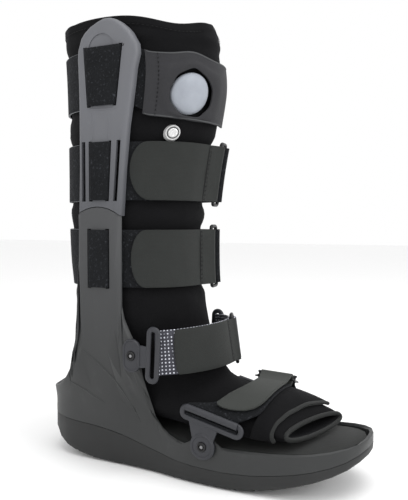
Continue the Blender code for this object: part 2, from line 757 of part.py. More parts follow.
def leg_tab(name, strap):
    """The strap's end, folded back round the ring's near bar and laid over the strap, with a round end."""
    lift = STRAP_LIFT + STRAP_THICKNESS / 2 + GAP + TAB_THICKNESS / 2
    inner, outer = bar_lift() - RING_RADIUS - GAP - TAB_THICKNESS / 2, bar_lift() + RING_RADIUS + GAP + TAB_THICKNESS / 2
    near_bar = ring_bars(RING_ANGLE, strap.low + STRAP_WIDTH / 2)[0]
    edges = []
    for z in (strap.low, strap.low + STRAP_WIDTH):
        first = leg_angle(TAB_START, z)
        flat = [strap_point(strap, first + (near_bar + 14 - first) * i / 9, lift, z) for i in range(10)]
        held = strap_point(strap, near_bar, 0.0, z) - leg_point(near_bar, 0.0, z)
        point = lambda a, d: leg_point(a, d, z) + held
        edges.append((flat, turn_round(point, near_bar, inner, outer, -1, 140)))
    rows = []
    for across in (-1.0, -0.86, -0.6, 0.0, 0.6, 0.86, 1.0):
        share = 0.5 + 0.5 * across
        flat = [low.lerp(high, share) for low, high in zip(edges[0][0], edges[1][0])]
        turned = [low.lerp(high, share) for low, high in zip(edges[0][1], edges[1][1])]
        cut = STRAP_WIDTH * 0.22 * (1 - math.sqrt(1 - across * across))
        rows.append(resample(flat, 9, cut) + turned)
    band(name, rows, TAB_THICKNESS, WEBBING)


def ring_bars(angle, z):
    """Angles of a ring's near and far bars."""
    spread = RING_SPAN / 2 / per_degree(angle, z)
    return angle + spread, angle - spread


def ring(name, corners, radius=RING_RADIUS):
    """A closed frame of round wire through four corners."""
    path = []
    for i, corner in enumerate(corners):
        before, after = corners[i - 1], corners[(i + 1) % len(corners)]
        path += turn_corner(before, corner, after, 2 * radius)
    normal = (corners[1] - corners[0]).cross(corners[2] - corners[1]).normalized()
    rings = []
    for i, at in enumerate(path):
        along = (path[(i + 1) % len(path)] - path[i - 1]).normalized()
        side = along.cross(normal).normalized()
        rings.append([at + radius * (side * math.cos(math.pi * k / 3) + normal * math.sin(math.pi * k / 3)) for k in range(6)])
    points, faces = loft(rings + rings[:1], cap=False)
    shade(mesh_object(name, points, faces, BLACK_PLASTIC), 60)


def leg_ring(name, strap):
    over = (RING_RADIUS + 3 * GAP) / STRAP_WIDTH
    corners = []
    near, far = ring_bars(RING_ANGLE, strap.low + STRAP_WIDTH / 2)
    for angle, ends in ((near, (-over, 1 + over)), (far, (1 + over, -over))):
        low = strap_point(strap, angle, bar_lift(), strap.low)
        high = strap_point(strap, angle, bar_lift(), strap.low + STRAP_WIDTH)
        corners += [low.lerp(high, share) for share in ends]
    ring(name, corners)


def top_cover():
    """The padded cover at the front of the top strap, with a rough round hole over the bulb."""
    lift = STRAP_LIFT + STRAP_THICKNESS / 2 + 1.8 * GAP + TAB_THICKNESS / 2
    rows = []
    for share in (0.0, 0.5, 1.0):
        row = []
        for i in range(15):
            z = TOP_STRAP.low + STRAP_WIDTH * share
            first = leg_angle(COVER_START, z)
            angle = first + (COVER_END - first) * i / 14
            z += share * COVER_RISE * math.exp(-(((angle - BULB_ANGLE) / 14) ** 2)) - COVER_LIP * (1 - share)
            row.append(strap_point(TOP_STRAP, angle, lift, z))
        rows.append(row)
    made = band("top_strap_cover", rows, TAB_THICKNESS, WEBBING)
    middle = leg_point(BULB_ANGLE, 0.0, BULB_Z)
    out = (leg_point(BULB_ANGLE, 0.01, BULB_Z) - middle).normalized()
    side = out.cross(Vector((0, 0, 1))).normalized()
    up = side.cross(out)
    rough = (1.03, 1.0, 1.05, 1.02, 1.07, 1.01, 1.04, 1.09, 1.02, 1.06, 1.0, 1.05, 1.03, 1.08, 1.02, 1.05)
    rings = []
    for depth in (-0.02, 0.03):
        rings.append([
            middle + out * depth
            + (side * math.cos(2 * math.pi * i / 16) + up * math.sin(2 * math.pi * i / 16)) * (BULB_RADIUS + 0.0008) * rough[i]
            for i in range(16)
        ])
    points, faces = loft(rings)
    boolean(made, cutter("hole_cutter", points, faces))


def leg_button(name, angle, z, profile, finish):
    """A round piece that lies on the leg: the profile holds pairs of radius and lift from its base to its top."""
    per = per_degree(angle, z)
    rings = []
    for radius, lift in profile:
        ring_points = []
        for i in range(18):
            a = 2 * math.pi * i / 18
            ring_points.append(leg_point(angle + radius * math.cos(a) / per, lift, z + radius * math.sin(a)))
        rings.append(ring_points)
    points, faces = loft(rings)
    shade(mesh_object(name, points, faces, finish), 40)


def bulb_and_valve():
    base = GAP
    dome = [(BULB_RADIUS * math.cos(math.radians(a)), base + 0.002 + (BULB_DEPTH - 0.002) * math.sin(math.radians(a))) for a in (0, 25, 50, 72)]
    under = [(share * BULB_RADIUS, base) for share in (0.2, 0.5, 0.8, 1.0)]
    leg_button("pump_bulb", BULB_ANGLE, BULB_Z, under + dome, PALE_VINYL)
    leg_button("valve_body", VALVE_ANGLE, VALVE_Z, [
        (0.4 * VALVE_RADIUS, base),
        (VALVE_RADIUS, base),
        (VALVE_RADIUS, 0.7 * VALVE_DEPTH),
        (0.86 * VALVE_RADIUS, VALVE_DEPTH),
    ], VALVE_METAL)
    top = VALVE_DEPTH + GAP
    leg_button("valve_button", VALVE_ANGLE, VALVE_Z, [
        (0.58 * VALVE_RADIUS, top),
        (0.58 * VALVE_RADIUS, top + 0.0014),
        (0.42 * VALVE_RADIUS, top + 0.0022),
    ], BLACK_PLASTIC)


# Upper struts


def inset_outline(outline, amount):
    made = []
    for i, here in enumerate(outline):
        a = (Vector(here) - Vector(outline[i - 1])).normalized()
        b = (Vector(outline[(i + 1) % len(outline)]) - Vector(here)).normalized()
        across = Vector((-(a + b).y, (a + b).x)).normalized()
        made.append(tuple(Vector(here) + across * amount))
    return made


def slot_outline(low, high, y_low, y_high, width=SLOT_WIDTH):
    return [
        (y_low - width / 2, low),
        (y_low + width / 2, low),
        (y_high + width / 2, high),
        (y_high - width / 2, high),
    ]


def slot_cutter(name, slots):
    points, faces = [], []
    for side in (-1, 1):
        for outline in slots:
            p, f = prism(outline, side * 0.045, side * 0.080, "X")
            faces += [tuple(k + len(points) for k in face) for face in f]
            points += p
    return cutter(name, points, faces)


def strap_slots(strap):
    margin = 0.0009
    low, high = strap.low - margin, strap.low + STRAP_WIDTH + margin
    return [
        slot_outline(low, high, strap.front_low, strap.front_high),
        slot_outline(low, high, strap.back_low, strap.back_high),
    ]


def strut(name, side, slots, disc, joint):
    front = [(row.front * STRUT_TOP_WIDTH, row.height * STRUT_TOP) for row in STRUT]
    back = [(row.back * STRUT_TOP_WIDTH, row.height * STRUT_TOP) for row in STRUT]
    outline = front + back[::-1]
    half = UPRIGHT_SPAN / 2
    loops = []
    for depth, inset in ((1.6, 0.0), (1.0, 0.0), (0.62, 0.08), (0.29, 0.29), (0.08, 0.62), (0.0, 1.0)):
        x = side * (half - depth * EDGE_RADIUS)
        loops.append([(x, y, z) for y, z in inset_outline(outline, inset * EDGE_RADIUS)])
    count = len(outline)
    points, faces = loft(loops, cap=False)
    faces.append(tuple(range((len(loops) - 1) * count, len(loops) * count)))
    made = mesh_object(name, points, faces, SHELL_PLASTIC)
    outward = max(made.data.polygons, key=lambda p: p.area)
    if outward.normal.x * side < 0:
        made.data.flip_normals()
    solidify(made, WALL, -1, even=False)
    boolean(made, joint)
    boolean(made, slots)
    boolean(made, disc)
    boolean(made, tongue(side), "UNION")
    shade(made)


def tongue(side):
    half = UPRIGHT_SPAN / 2
    outer = half - WALL - GAP
    inner = outer - TONGUE
    step = JOINT_Z + 0.0015
    section = [
        (inner, JOINT_Z - TONGUE_LENGTH),
        (outer, JOINT_Z - TONGUE_LENGTH),
        (outer, step),
        (half - 0.4 * WALL, step),
        (half - 0.4 * WALL, step + 0.008),
        (inner, step + 0.008),
    ]
    rings = [[(side * x, y, z) for x, z in section] for y in (-TONGUE_WIDTH / 2, TONGUE_WIDTH / 2)]
    points, faces = loft(rings)
    return cutter(f"tongue_{'left' if side > 0 else 'right'}", points, faces)


def struts():
    arc = [(UPRIGHT_FRONT - 0.03, 0.15), (UPRIGHT_BACK + 0.03, 0.15)]
    radius = JOINT_RADIUS + JOINT_GAP
    middle = (UPRIGHT_FRONT + UPRIGHT_BACK) / 2
    reach = 0.96 * radius
    for i in range(13):
        y = middle + reach * (1 - i / 6)
        arc.append((y, joint_arc(y, radius, JOINT_Z + JOINT_GAP)))
    points, faces = prism(arc, -0.09, 0.09, "X")
    joint = cutter("joint_cutter", points, faces)
    low, high = MIDDLE_STRAP.low - 0.0009, MIDDLE_STRAP.low + STRAP_WIDTH + 0.0009
    spare = [slot_outline(low, high, -0.0167, -0.0209), slot_outline(low, high, 0.0162, 0.0162)]
    slots = slot_cutter("strut_slot_cutter", strap_slots(TOP_STRAP) + strap_slots(MIDDLE_STRAP) + spare)
    half = UPRIGHT_SPAN / 2
    points, faces = [], []
    for side in (-1, 1):
        circle = [
            (DISC_Y + DISC_RADIUS * math.cos(2 * math.pi * i / 32), DISC_Z + DISC_RADIUS * math.sin(2 * math.pi * i / 32))
            for i in range(32)
        ]
        p, f = prism(circle, side * (half - DISC_DEPTH), side * (half + 0.01), "X")
        faces += [tuple(k + len(points) for k in face) for face in f]
        points += p
    disc = cutter("disc_cutter", points, faces)
    for name, side in (("strut_upper_right", -1), ("strut_upper_left", 1)):
        strut(name, side, slots, disc, joint)


# Loops, rivets, ankle strap and forefoot strap


def rounded_box(middle, width, height, radius, turn=0.0, steps=4):
    """A rounded rectangle as (y, z) pairs, turned in its plane."""
    made = []
    c, s = math.cos(math.radians(turn)), math.sin(math.radians(turn))
    for corner in range(4):
        cy = (width / 2 - radius) * (1 if corner in (0, 3) else -1)
        cz = (height / 2 - radius) * (1 if corner in (0, 1) else -1)
        for i in range(steps + 1):
            a = math.radians(90 * corner + 90 * i / steps)
            y, z = cy + radius * math.cos(a), cz + radius * math.sin(a)
            made.append((middle[0] + y * c - z * s, middle[1] + y * s + z * c))
    return made


def plate(name, outline, inner, thickness, side, into=None):
    points, faces = prism(outline, side * inner, side * (inner + thickness), "X")
    if into:
        return mesh_object(name, points, faces, BLACK_PLASTIC)
    return cutter(name, points, faces)


def ankle_loop(label, side):
    inner = UPRIGHT_SPAN / 2 + GAP
    frame = rounded_box(ANKLE_FRAME, ANKLE_FRAME_WIDTH, ANKLE_FRAME_HEIGHT, 0.004)
    made = plate(f"ankle_loop_{label}", frame, inner, LOOP_THICKNESS, side, PARTS)
    front, back = ANKLE_FRAME[0] + 0.3 * ANKLE_FRAME_WIDTH, ANKLE_RIVET[0] - 0.0046
    middle = ANKLE_RIVET[1]
    neck = [(front, middle - 0.0073), (back, middle - 0.0093), (back, middle + 0.0092), (front, middle + 0.0072)]
    boolean(made, plate(f"ankle_neck_{label}", neck, inner + 0.0003, LOOP_THICKNESS - 0.0006, side), "UNION")
    lug = rounded_box(ANKLE_RIVET, 0.0158, 0.0276, 0.0065)
    boolean(made, plate(f"ankle_lug_{label}", lug, inner + 0.0001, LOOP_THICKNESS + 0.0003, side), "UNION")
    slot = rounded_box((ANKLE_FRAME[0] - 0.0016, ANKLE_FRAME[1]), ANKLE_SLOT_WIDTH, ANKLE_SLOT_HEIGHT, 0.0012, steps=2)
    boolean(made, plate(f"ankle_slot_{label}", slot, inner - 0.005, 0.02, side))
    hole = rounded_box(ANKLE_RIVET, 0.0062, 0.0062, 0.003, steps=3)
    boolean(made, plate(f"ankle_hole_{label}", hole, inner - 0.005, 0.02, side))
    shade(made)
    rivet(f"ankle_rivet_{label}", ANKLE_RIVET, inner, side)


def fore_inner():
    return FOREFOOT_WIDTH / 2 + GAP


def forefoot_loop(label, side):
    inner = fore_inner()
    frame = rounded_box(FORE_FRAME, FORE_FRAME_LENGTH, FORE_FRAME_WIDTH, 0.0055, FORE_TILT)
    made = plate(f"forefoot_loop_{label}", frame, inner, LOOP_THICKNESS, side, PARTS)
    neck = [(-0.1075, 0.0380), (-0.0895, 0.0380), (-0.0855, 0.0580), (-0.1130, 0.0520)]
    boolean(made, plate(f"forefoot_neck_{label}", neck, inner + 0.0003, LOOP_THICKNESS - 0.0006, side), "UNION")
    lug = rounded_box(FORE_RIVET, 2 * FORE_RIVET_RADIUS, 2 * FORE_RIVET_RADIUS, 0.98 * FORE_RIVET_RADIUS, steps=6)
    boolean(made, plate(f"forefoot_lug_{label}", lug, inner + 0.0001, LOOP_THICKNESS + 0.0003, side), "UNION")
    drop = math.radians(FORE_TILT)
    middle = (FORE_FRAME[0] + FORE_SLOT_DROP * math.sin(drop), FORE_FRAME[1] - FORE_SLOT_DROP * math.cos(drop))
    slot = rounded_box(middle, FORE_SLOT_LENGTH, FORE_SLOT_WIDTH, 0.0012, FORE_TILT, steps=2)
    boolean(made, plate(f"forefoot_slot_{label}", slot, inner - 0.005, 0.02, side))
    hole = rounded_box(FORE_RIVET, 0.0062, 0.0062, 0.003, steps=3)
    boolean(made, plate(f"forefoot_hole_{label}", hole, inner - 0.005, 0.02, side))
    shade(made)
    rivet(f"forefoot_rivet_{label}", FORE_RIVET, inner, side)


def rivet(name, middle, inner, side):
    """A shank in the loop's hole with a low head outside it."""
    top = inner + LOOP_THICKNESS + 0.0004
    rings = []
    for radius, x in (
        (0.0025, inner + 0.0004),
        (0.0025, top + 0.0003),
        (RIVET_RADIUS, top + 0.0003),
        (RIVET_RADIUS, top + 0.0010),
        (0.75 * RIVET_RADIUS, top + 0.0017),
        (0.35 * RIVET_RADIUS, top + 0.0020),
    ):
        rings.append([
            (side * x, middle[0] + radius * math.cos(math.pi * i / 8), middle[1] + radius * math.sin(math.pi * i / 8))
            for i in range(16)
        ])
    points, faces = loft(rings)
    shade(mesh_object(name, points, faces, RIVET_METAL), 40)


def ankle_point(angle, lift, share):
    """A point of the ankle strap's way: angle from the front, share from the lower edge to the upper."""
    a = math.radians(angle)
    bulge = ANKLE_BULGE_LOW + (ANKLE_BULGE_HIGH - ANKLE_BULGE_LOW) * share + lift
    half = UPRIGHT_SPAN / 2 - 0.0030 + lift
    low = ANKLE_FRAME[1] - ANKLE_STRAP_WIDTH / 2 + ANKLE_RISE * math.cos(a)
    return Vector((-half * math.sin(a), ANKLE_MIDDLE_Y - bulge * math.cos(a), low + ANKLE_STRAP_WIDTH * share))


def ankle_pieces():
    slot_y = ANKLE_FRAME[0] - 0.0016
    half = UPRIGHT_SPAN / 2 - 0.0030
    thickness = 0.0016
    spread = RING_SPAN / 2 / step_length(lambda a, d: ankle_point(a, d, 0.5), ANKLE_RING_ANGLE)
    near, far = ANKLE_RING_ANGLE + spread, ANKLE_RING_ANGLE - spread
    gap = STRAP_THICKNESS / 2 + GAP + RING_RADIUS
    strap_rows, anchor_rows, tab_rows = [], [], []
    for share in (0.0, 1.0):
        start = ankle_point(74, 0, share)
        z = ankle_point(90, 0, share).z
        path = [Vector((-half - 0.0035, slot_y, z)), Vector((-half - 0.0018, slot_y, z))]
        path += turn_corner(Vector((-half - 0.0018, slot_y, z)), Vector((-half, slot_y, z)), start, 0.0012)[1:]
        path += [ankle_point(74 + (near - 74) * i / 12, 0, share) for i in range(13)]
        strap_rows.append(path)
        path = [Vector((half + 0.0035, slot_y, z)), Vector((half + 0.0018, slot_y, z))]
        path += turn_corner(path[-1], Vector((half, slot_y, z)), ankle_point(-74, 0, share), 0.0012)[1:]
        path += [ankle_point(-74 + (far + 74) * i / 6, 0, share) for i in range(7)]
        path += turn_round(lambda a, d: ankle_point(a, d, share), far, 0.0, 2 * gap, 1)[::-1][1:]
        path.append(ankle_point(far - 9, 1.7 * gap, share))
        anchor_rows.append(path)
        lift = thickness / 2 + GAP + TAB_THICKNESS / 2
        path = [ankle_point(ANKLE_TAB_ANGLE + (near + 12 - ANKLE_TAB_ANGLE) * i / 8, lift, share) for i in range(9)]
        path += turn_round(lambda a, d: ankle_point(a, d, share), near, 0.0, 2 * gap, -1, 140)
        tab_rows.append(path[:-1])
    for path in strap_rows:
        path.pop()
    band("ankle_strap", strap_rows, thickness, WEBBING)
    band("ankle_anchor", anchor_rows, thickness, WEBBING)
    band("ankle_strap_tab", tab_rows, TAB_THICKNESS, WEBBING)
    over = (RING_RADIUS + 3 * GAP) / ANKLE_STRAP_WIDTH
    ring("ankle_ring", [
        ankle_point(near, gap, -over),
        ankle_point(near, gap, 1 + over),
        ankle_point(far, gap, 1 + over),
        ankle_point(far, gap, -over),
    ])


def forefoot_rule(share, angle, lift):
    """A point over the forefoot, on straight lines between a rear row of the liner and a front one."""
    rear = liner_point(FORE_REAR_ROW, angle, FORE_LIFT + lift)
    return rear + (liner_point(FORE_FRONT_ROW, angle, FORE_LIFT + lift) - rear) * share


def forefoot_point(share, angle, lift):
    """The same with the lift square to the surface."""
    base = forefoot_rule(share, angle, 0.0)
    along = (forefoot_rule(share, angle + 0.5, 0.0) - forefoot_rule(share, angle - 0.5, 0.0)).normalized()
    ahead = (forefoot_rule(1.0, angle, 0.0) - forefoot_rule(0.0, angle, 0.0)).normalized()
    out = ahead.cross(along).normalized()
    if out.z < 0:
        out = -out
    return base + out * lift


def forefoot_slot(share):
    """A place along the forefoot loop's slot, as (y, z)."""
    tilt = math.radians(FORE_TILT)
    along = (0.5 - share) * (FORE_SLOT_LENGTH - 0.003)
    drop = FORE_SLOT_DROP
    y = FORE_FRAME[0] + along * math.cos(tilt) + drop * math.sin(tilt)
    return y, FORE_FRAME[1] + along * math.sin(tilt) - drop * math.cos(tilt)


def forefoot_way(share, lift, first, last, steps):
    return [forefoot_point(share, first + (last - first) * i / steps, lift) for i in range(steps + 1)]


def forefoot_end(share, side):
    """The strap's end: in the loop's slot, then up behind the loop's upper bar."""
    y, z = forefoot_slot(share)
    x = fore_inner() - GAP - STRAP_THICKNESS / 2
    rise = FORE_FRAME_WIDTH * 0.55
    corner = Vector((side * x, y, z))
    outer = Vector((side * (x + 0.0035), y, z))
    above = Vector((side * x, y, z + rise))
    return [outer] + turn_corner(outer, corner, above, 0.0014) + [above]


def forefoot_pieces():
    gap = FORE_TURN * (STRAP_THICKNESS / 2 + GAP + RING_RADIUS)
    spread = FORE_TURN * RING_SPAN / 2 / step_length(lambda a, d: forefoot_point(0.5, a, d), FORE_RING_ANGLE)
    near, far = FORE_RING_ANGLE + spread, FORE_RING_ANGLE - spread
    strap_rows, anchor_rows, tab_rows = [], [], []
    for share in (0.0, 0.25, 0.5, 0.75, 1.0):
        point = lambda a, d: forefoot_point(share, a, d)
        path = forefoot_end(share, -1) + forefoot_way(share, 0.0, 58, near + 2.0, 13)
        strap_rows.append(path)
        path = forefoot_end(share, 1) + forefoot_way(share, 0.0, -64, far, 3)
        path += turn_round(point, far, 0.0, 2 * gap, 1)[::-1][1:]
        anchor_rows.append(path)
    for share in (-1.0, -0.86, -0.6, 0.0, 0.6, 0.86, 1.0):
        v = 0.5 + 0.47 * share
        point = lambda a, d: forefoot_point(v, a, d)
        lift = STRAP_THICKNESS / 2 + 4.5 * GAP + TAB_THICKNESS / 2
        path = forefoot_way(v, lift, FORE_TAB_ANGLE, near + 18, 9)
        cut = STRAP_WIDTH * 0.5 * (1 - math.sqrt(1 - share * share))
        path = resample(path, 10, cut)
        path += turn_round(point, near, 0.0, 2 * gap, -1, 140)[:-1]
        tab_rows.append(path)
    band("forefoot_strap", strap_rows, STRAP_THICKNESS, LOOP_TAPE)
    band("forefoot_anchor", anchor_rows, STRAP_THICKNESS, LOOP_TAPE)
    band("forefoot_strap_tab", tab_rows, TAB_THICKNESS, WEBBING)
    over = (RING_RADIUS + 4 * GAP) / (forefoot_point(1.0, near, gap) - forefoot_point(0.0, near, gap)).length
    corners = []
    for angle, ends in ((near, (-over, 1 + over)), (far, (1 + over, -over))):
        rear, front = forefoot_point(0.0, angle, gap), forefoot_point(1.0, angle, gap)
        corners += [rear.lerp(front, share) for share in ends]
    ring("forefoot_ring", corners, 0.5 * RING_RADIUS)


def toe_flap():
    """The cloth flap over the forefoot, whose bound front edge runs forward from the near side to the top."""
    rows = []
    for row in FLAP_ROWS:
        reach = (row - FLAP_ROWS[0]) / (FLAP_ROWS[-1] - FLAP_ROWS[0])
        path = []
        for i in range(19):
            angle = 108 - 168 * i / 18
            back = 0.3 * smoothstep(10, 100, angle) * reach
            path.append(liner_point(row - back, angle, FLAP_LIFT))
        rows.append(path)
    band("toe_flap", rows, FLAP_WALL, FLEECE)


outsole()
footbed()
shell_made = shell_object()
boolean(shell_made, slot_cutter("shell_slot_cutter", strap_slots(LOWER_STRAP)))
liner("liner", 1)
liner("liner_foot", -1)
toe_flap()
struts()
leg_strap("top_strap", TOP_STRAP, leg_angle(COVER_START, 0.35) - 6, COVER_END + 7, False)
top_cover()
bulb_and_valve()
leg_strap("middle_strap", MIDDLE_STRAP, 0.0, 0.0, True)
leg_tab("middle_strap_tab", MIDDLE_STRAP)
leg_ring("middle_ring", MIDDLE_STRAP)
leg_strap("lower_strap", LOWER_STRAP, 0.0, 0.0, True)
leg_tab("lower_strap_tab", LOWER_STRAP)
leg_ring("lower_ring", LOWER_STRAP)
for label, side in (("right", -1), ("left", 1)):
    ankle_loop(label, side)
    forefoot_loop(label, side)
ankle_pieces()
forefoot_pieces()
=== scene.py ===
"""Dresses the tall walking boot: camera, light, plastics, rubber, foam, velour, webbing and stitching."""

import math
from collections import namedtuple

import bmesh
import bpy
from mathutils import Matrix, Vector, noise
from mathutils.bvhtree import BVHTree


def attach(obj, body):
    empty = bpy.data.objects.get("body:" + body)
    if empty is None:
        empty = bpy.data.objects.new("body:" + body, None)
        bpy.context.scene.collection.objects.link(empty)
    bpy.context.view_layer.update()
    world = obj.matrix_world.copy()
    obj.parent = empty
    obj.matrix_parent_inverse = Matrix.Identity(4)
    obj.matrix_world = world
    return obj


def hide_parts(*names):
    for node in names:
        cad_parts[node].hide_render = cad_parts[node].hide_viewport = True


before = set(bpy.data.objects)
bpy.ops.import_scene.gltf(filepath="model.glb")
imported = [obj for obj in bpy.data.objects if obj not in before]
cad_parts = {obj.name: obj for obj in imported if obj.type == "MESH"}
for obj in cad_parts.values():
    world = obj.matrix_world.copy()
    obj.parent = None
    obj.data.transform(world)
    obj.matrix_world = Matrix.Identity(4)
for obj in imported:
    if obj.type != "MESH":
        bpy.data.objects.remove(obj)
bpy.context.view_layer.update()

# Sizes of the boot, in metres, as the model has them
HEEL_REACH = 0.087
BOOT_HEIGHT = 0.411
UPRIGHT_SPAN = 0.126
LINER_WIDTH = UPRIGHT_SPAN - 0.003
GAP = 0.0004

# The camera that took the photograph
CAMERA_TURN = -64.0
CAMERA_DROP = 2.4
CAMERA_BACK = 0.6365
CAMERA_RIGHT = 0.0651
CAMERA_HEIGHT = 0.22325
FOCAL_SHARE = 656 / 500  # focal length as a share of the picture's height
SENSOR = 36.0


def camera():
    turn, drop = math.radians(CAMERA_TURN), math.radians(CAMERA_DROP)
    back = Vector((math.sin(turn) * math.cos(drop), -math.cos(turn) * math.cos(drop), math.sin(drop)))
    right = Vector((math.cos(turn), math.sin(turn), 0))
    up = back.cross(right)
    away = Vector((math.sin(turn), -math.cos(turn), 0))
    data = bpy.data.cameras.new("camera")
    data.sensor_width = SENSOR
    data.lens = FOCAL_SHARE * SENSOR
    made = bpy.data.objects.new("camera", data)
    place = away * CAMERA_BACK + right * CAMERA_RIGHT + Vector((0, 0, CAMERA_HEIGHT))
    made.matrix_world = Matrix((right, up, back)).transposed().to_4x4()
    made.location = place
    bpy.context.scene.collection.objects.link(made)
    bpy.context.scene.camera = made


camera()


# Shader expressions


class Value:
    """A node's output, on which arithmetic adds nodes."""

    def __init__(self, tree, socket):
        self.tree, self.socket = tree, socket

    def node(self, kind, settings=None, outlet=0, **inputs):
        made = self.tree.nodes.new(kind)
        for name, value in (settings or {}).items():
            if name == "stops":
                ramp = made.color_ramp
                while len(ramp.elements) < len(value):
                    ramp.elements.new(0.5)
                for element, (at, colour) in zip(ramp.elements, value):
                    element.position = at
                    element.color = (*colour, 1.0)
            else:
                setattr(made, name, value)
        for name, value in inputs.items():
            key = int(name[1:]) if name[1:].isdigit() else name.replace("_", " ")
            plug(self.tree, made.inputs[key], value)
        return Value(self.tree, made.outputs[outlet])

    def maths(self, operation, *values):
        made = self.tree.nodes.new("ShaderNodeMath")
        made.operation = operation
        for socket, value in zip(made.inputs, values):
            plug(self.tree, socket, value)
        return Value(self.tree, made.outputs[0])

    def __add__(self, other):
        return self.maths("ADD", self, other)

    def __sub__(self, other):
        return self.maths("SUBTRACT", self, other)

    def __mul__(self, other):
        return self.maths("MULTIPLY", self, other)

    def __rsub__(self, other):
        return self.maths("SUBTRACT", other, self)

    __radd__ = __add__
    __rmul__ = __mul__

    def step(self, low, high):
        """0 below low, 1 above high, smooth between."""
        return self.node(
            "ShaderNodeMapRange",
            {"interpolation_type": "SMOOTHSTEP"},
            Value=self,
            From_Min=low,
            From_Max=high,
        )

    def sine(self, length):
        """A wave between 0 and 1 with this length."""
        return self.maths("SINE", self * (2 * math.pi / length)) * 0.5 + 0.5


def plug(tree, socket, value):
    if isinstance(value, Value):
        tree.links.new(value.socket, socket)
    elif isinstance(value, tuple) and socket.type == "RGBA":
        socket.default_value = (*value, 1.0)
    else:
        socket.default_value = value


class Finish:
    """A material under way: its shader's constants, its coordinates and what varies over it."""

    def __init__(self, name, roughness=0.6, metallic=0.0, **constants):
        self.material = bpy.data.materials.new(name)
        self.material.use_nodes = True
        self.tree = self.material.node_tree
        self.shader = self.tree.nodes["Principled BSDF"]
        self.shader.inputs["Roughness"].default_value = roughness
        self.shader.inputs["Metallic"].default_value = metallic
        for name, value in constants.items():
            plug(self.tree, self.shader.inputs[name.replace("_", " ")], value)
        self.heights = []
        self.start = Value(self.tree, None)
        self.place = self.start.node("ShaderNodeTexCoord", outlet=3)
        self.flat = self.start.node("ShaderNodeUVMap")

    def noise(self, scale, detail=3.0, roughness=0.5, at=None, outlet=0):
        return self.start.node(
            "ShaderNodeTexNoise",
            outlet=outlet,
            Vector=at or self.place,
            Scale=scale,
            Detail=detail,
            Roughness=roughness,
        )

    def cells(self, scale, at=None):
        return self.start.node("ShaderNodeTexVoronoi", Vector=at or self.place, Scale=scale)

    def axis(self, which, of=None):
        return self.start.node("ShaderNodeSeparateXYZ", outlet="XYZ".index(which), Vector=of or self.place)

    def blend(self, share, low, high):
        return self.start.node("ShaderNodeMix", {"data_type": "RGBA"}, outlet=2, _0=share, _6=low, _7=high)

    def colour(self, value):
        plug(self.tree, self.shader.inputs["Base Color"], value)
        return self

    def rough(self, value):
        plug(self.tree, self.shader.inputs["Roughness"], value)
        return self

    def bump(self, height, distance, strength=1.0):
        """Adds relief that is so many metres deep."""
        inputs = {"Height": height, "Distance": distance, "Strength": strength}
        if self.heights:
            inputs["Normal"] = self.heights[-1]
        made = self.start.node("ShaderNodeBump", **inputs)
        self.heights.append(made)
        plug(self.tree, self.shader.inputs["Normal"], made)
        return self


def moulded_plastic(name, low, high, rubbed, lit_z, shaded_z):
    """Moulded nylon: a fine spark-eroded grain, faint flow shading, rubbed patches, and painted light that makes it
    paler towards lit_z and darker towards shaded_z.
    """
    made = Finish(name, Specular_IOR_Level=0.42)
    cloud = made.noise(14.0, 3.0)
    rub = made.noise(55.0, 5.0, 0.65)
    # painted light: the tone runs from low to high with height, as if lit from above
    rise = made.axis("Z").step(shaded_z, lit_z)
    tone = made.blend(0.8 * rise + 0.2 * cloud, low, high)
    made.colour(made.blend(rub.step(0.58, 0.78) * 0.3, tone, rubbed))
    made.rough(0.42 + 0.13 * made.noise(40.0, 4.0))
    made.bump(made.noise(1900.0, 2.0), 0.00006, 0.5)
    return made.material


def rocker_rubber():
    made = Finish("rocker_rubber", Specular_IOR_Level=0.36)
    made.colour(made.blend(made.noise(22.0, 4.0), (0.0120, 0.0126, 0.0126), (0.0204, 0.0210, 0.0210)))
    made.rough(0.50 + 0.16 * made.noise(60.0, 4.0))
    made.bump(made.noise(1500.0, 2.0), 0.00008, 0.6)
    return made.material


def footbed_foam():
    """Closed-cell foam with a faint pressed grain."""
    made = Finish("footbed_foam", Specular_IOR_Level=0.25, Sheen_Weight=0.06, Sheen_Roughness=0.5)
    made.colour(made.blend(made.noise(30.0, 5.0), (0.0075, 0.0085, 0.0080), (0.0130, 0.0140, 0.0135)))
    made.rough(0.74 + 0.14 * made.noise(120.0, 3.0))
    made.bump(made.cells(1400.0), 0.00010, 0.5)
    made.bump(made.noise(220.0, 4.0), 0.00025, 0.4)
    return made.material


def velour():
    """Black brushed velour: short pile that lies in drifts and catches light at its edges."""
    made = Finish("velour", Sheen_Weight=0.05, Sheen_Roughness=0.3, Specular_IOR_Level=0.12)
    plug(made.tree, made.shader.inputs["Sheen Tint"], (0.45, 0.46, 0.52))
    drift = made.noise(24.0, 5.0, 0.6)
    pile = made.noise(900.0, 3.0, 0.7)
    tone = made.blend(drift, (0.0016, 0.0016, 0.0019), (0.0058, 0.0058, 0.0066))
    made.colour(made.blend(pile.step(0.55, 0.8) * 0.4, tone, (0.0115, 0.0115, 0.0130)))
    made.rough(0.82 + 0.15 * drift)
    made.bump(pile, 0.00035, 0.6)
    made.bump(made.noise(150.0, 4.0, 0.6), 0.0006, 0.6)
    return made.material


def loop_pile():
    """Black loop tape: curled loops with paler flecks."""
    made = Finish("loop_pile", Sheen_Weight=0.05, Sheen_Roughness=0.4, Specular_IOR_Level=0.15)
    plug(made.tree, made.shader.inputs["Sheen Tint"], (0.4, 0.42, 0.47))
    loops = made.cells(640.0)
    fleck = made.noise(430.0, 3.0, 0.75)
    tone = made.blend(made.noise(45.0, 4.0), (0.0039, 0.0043, 0.0051), (0.0101, 0.0109, 0.0125))
    made.colour(made.blend(fleck.step(0.56, 0.72) * 0.75, tone, (0.0468, 0.0499, 0.0577)))
    made.rough(0.88)
    made.bump(loops, 0.0006, 0.65)
    made.bump(fleck, 0.0006, 0.7)
    return made.material


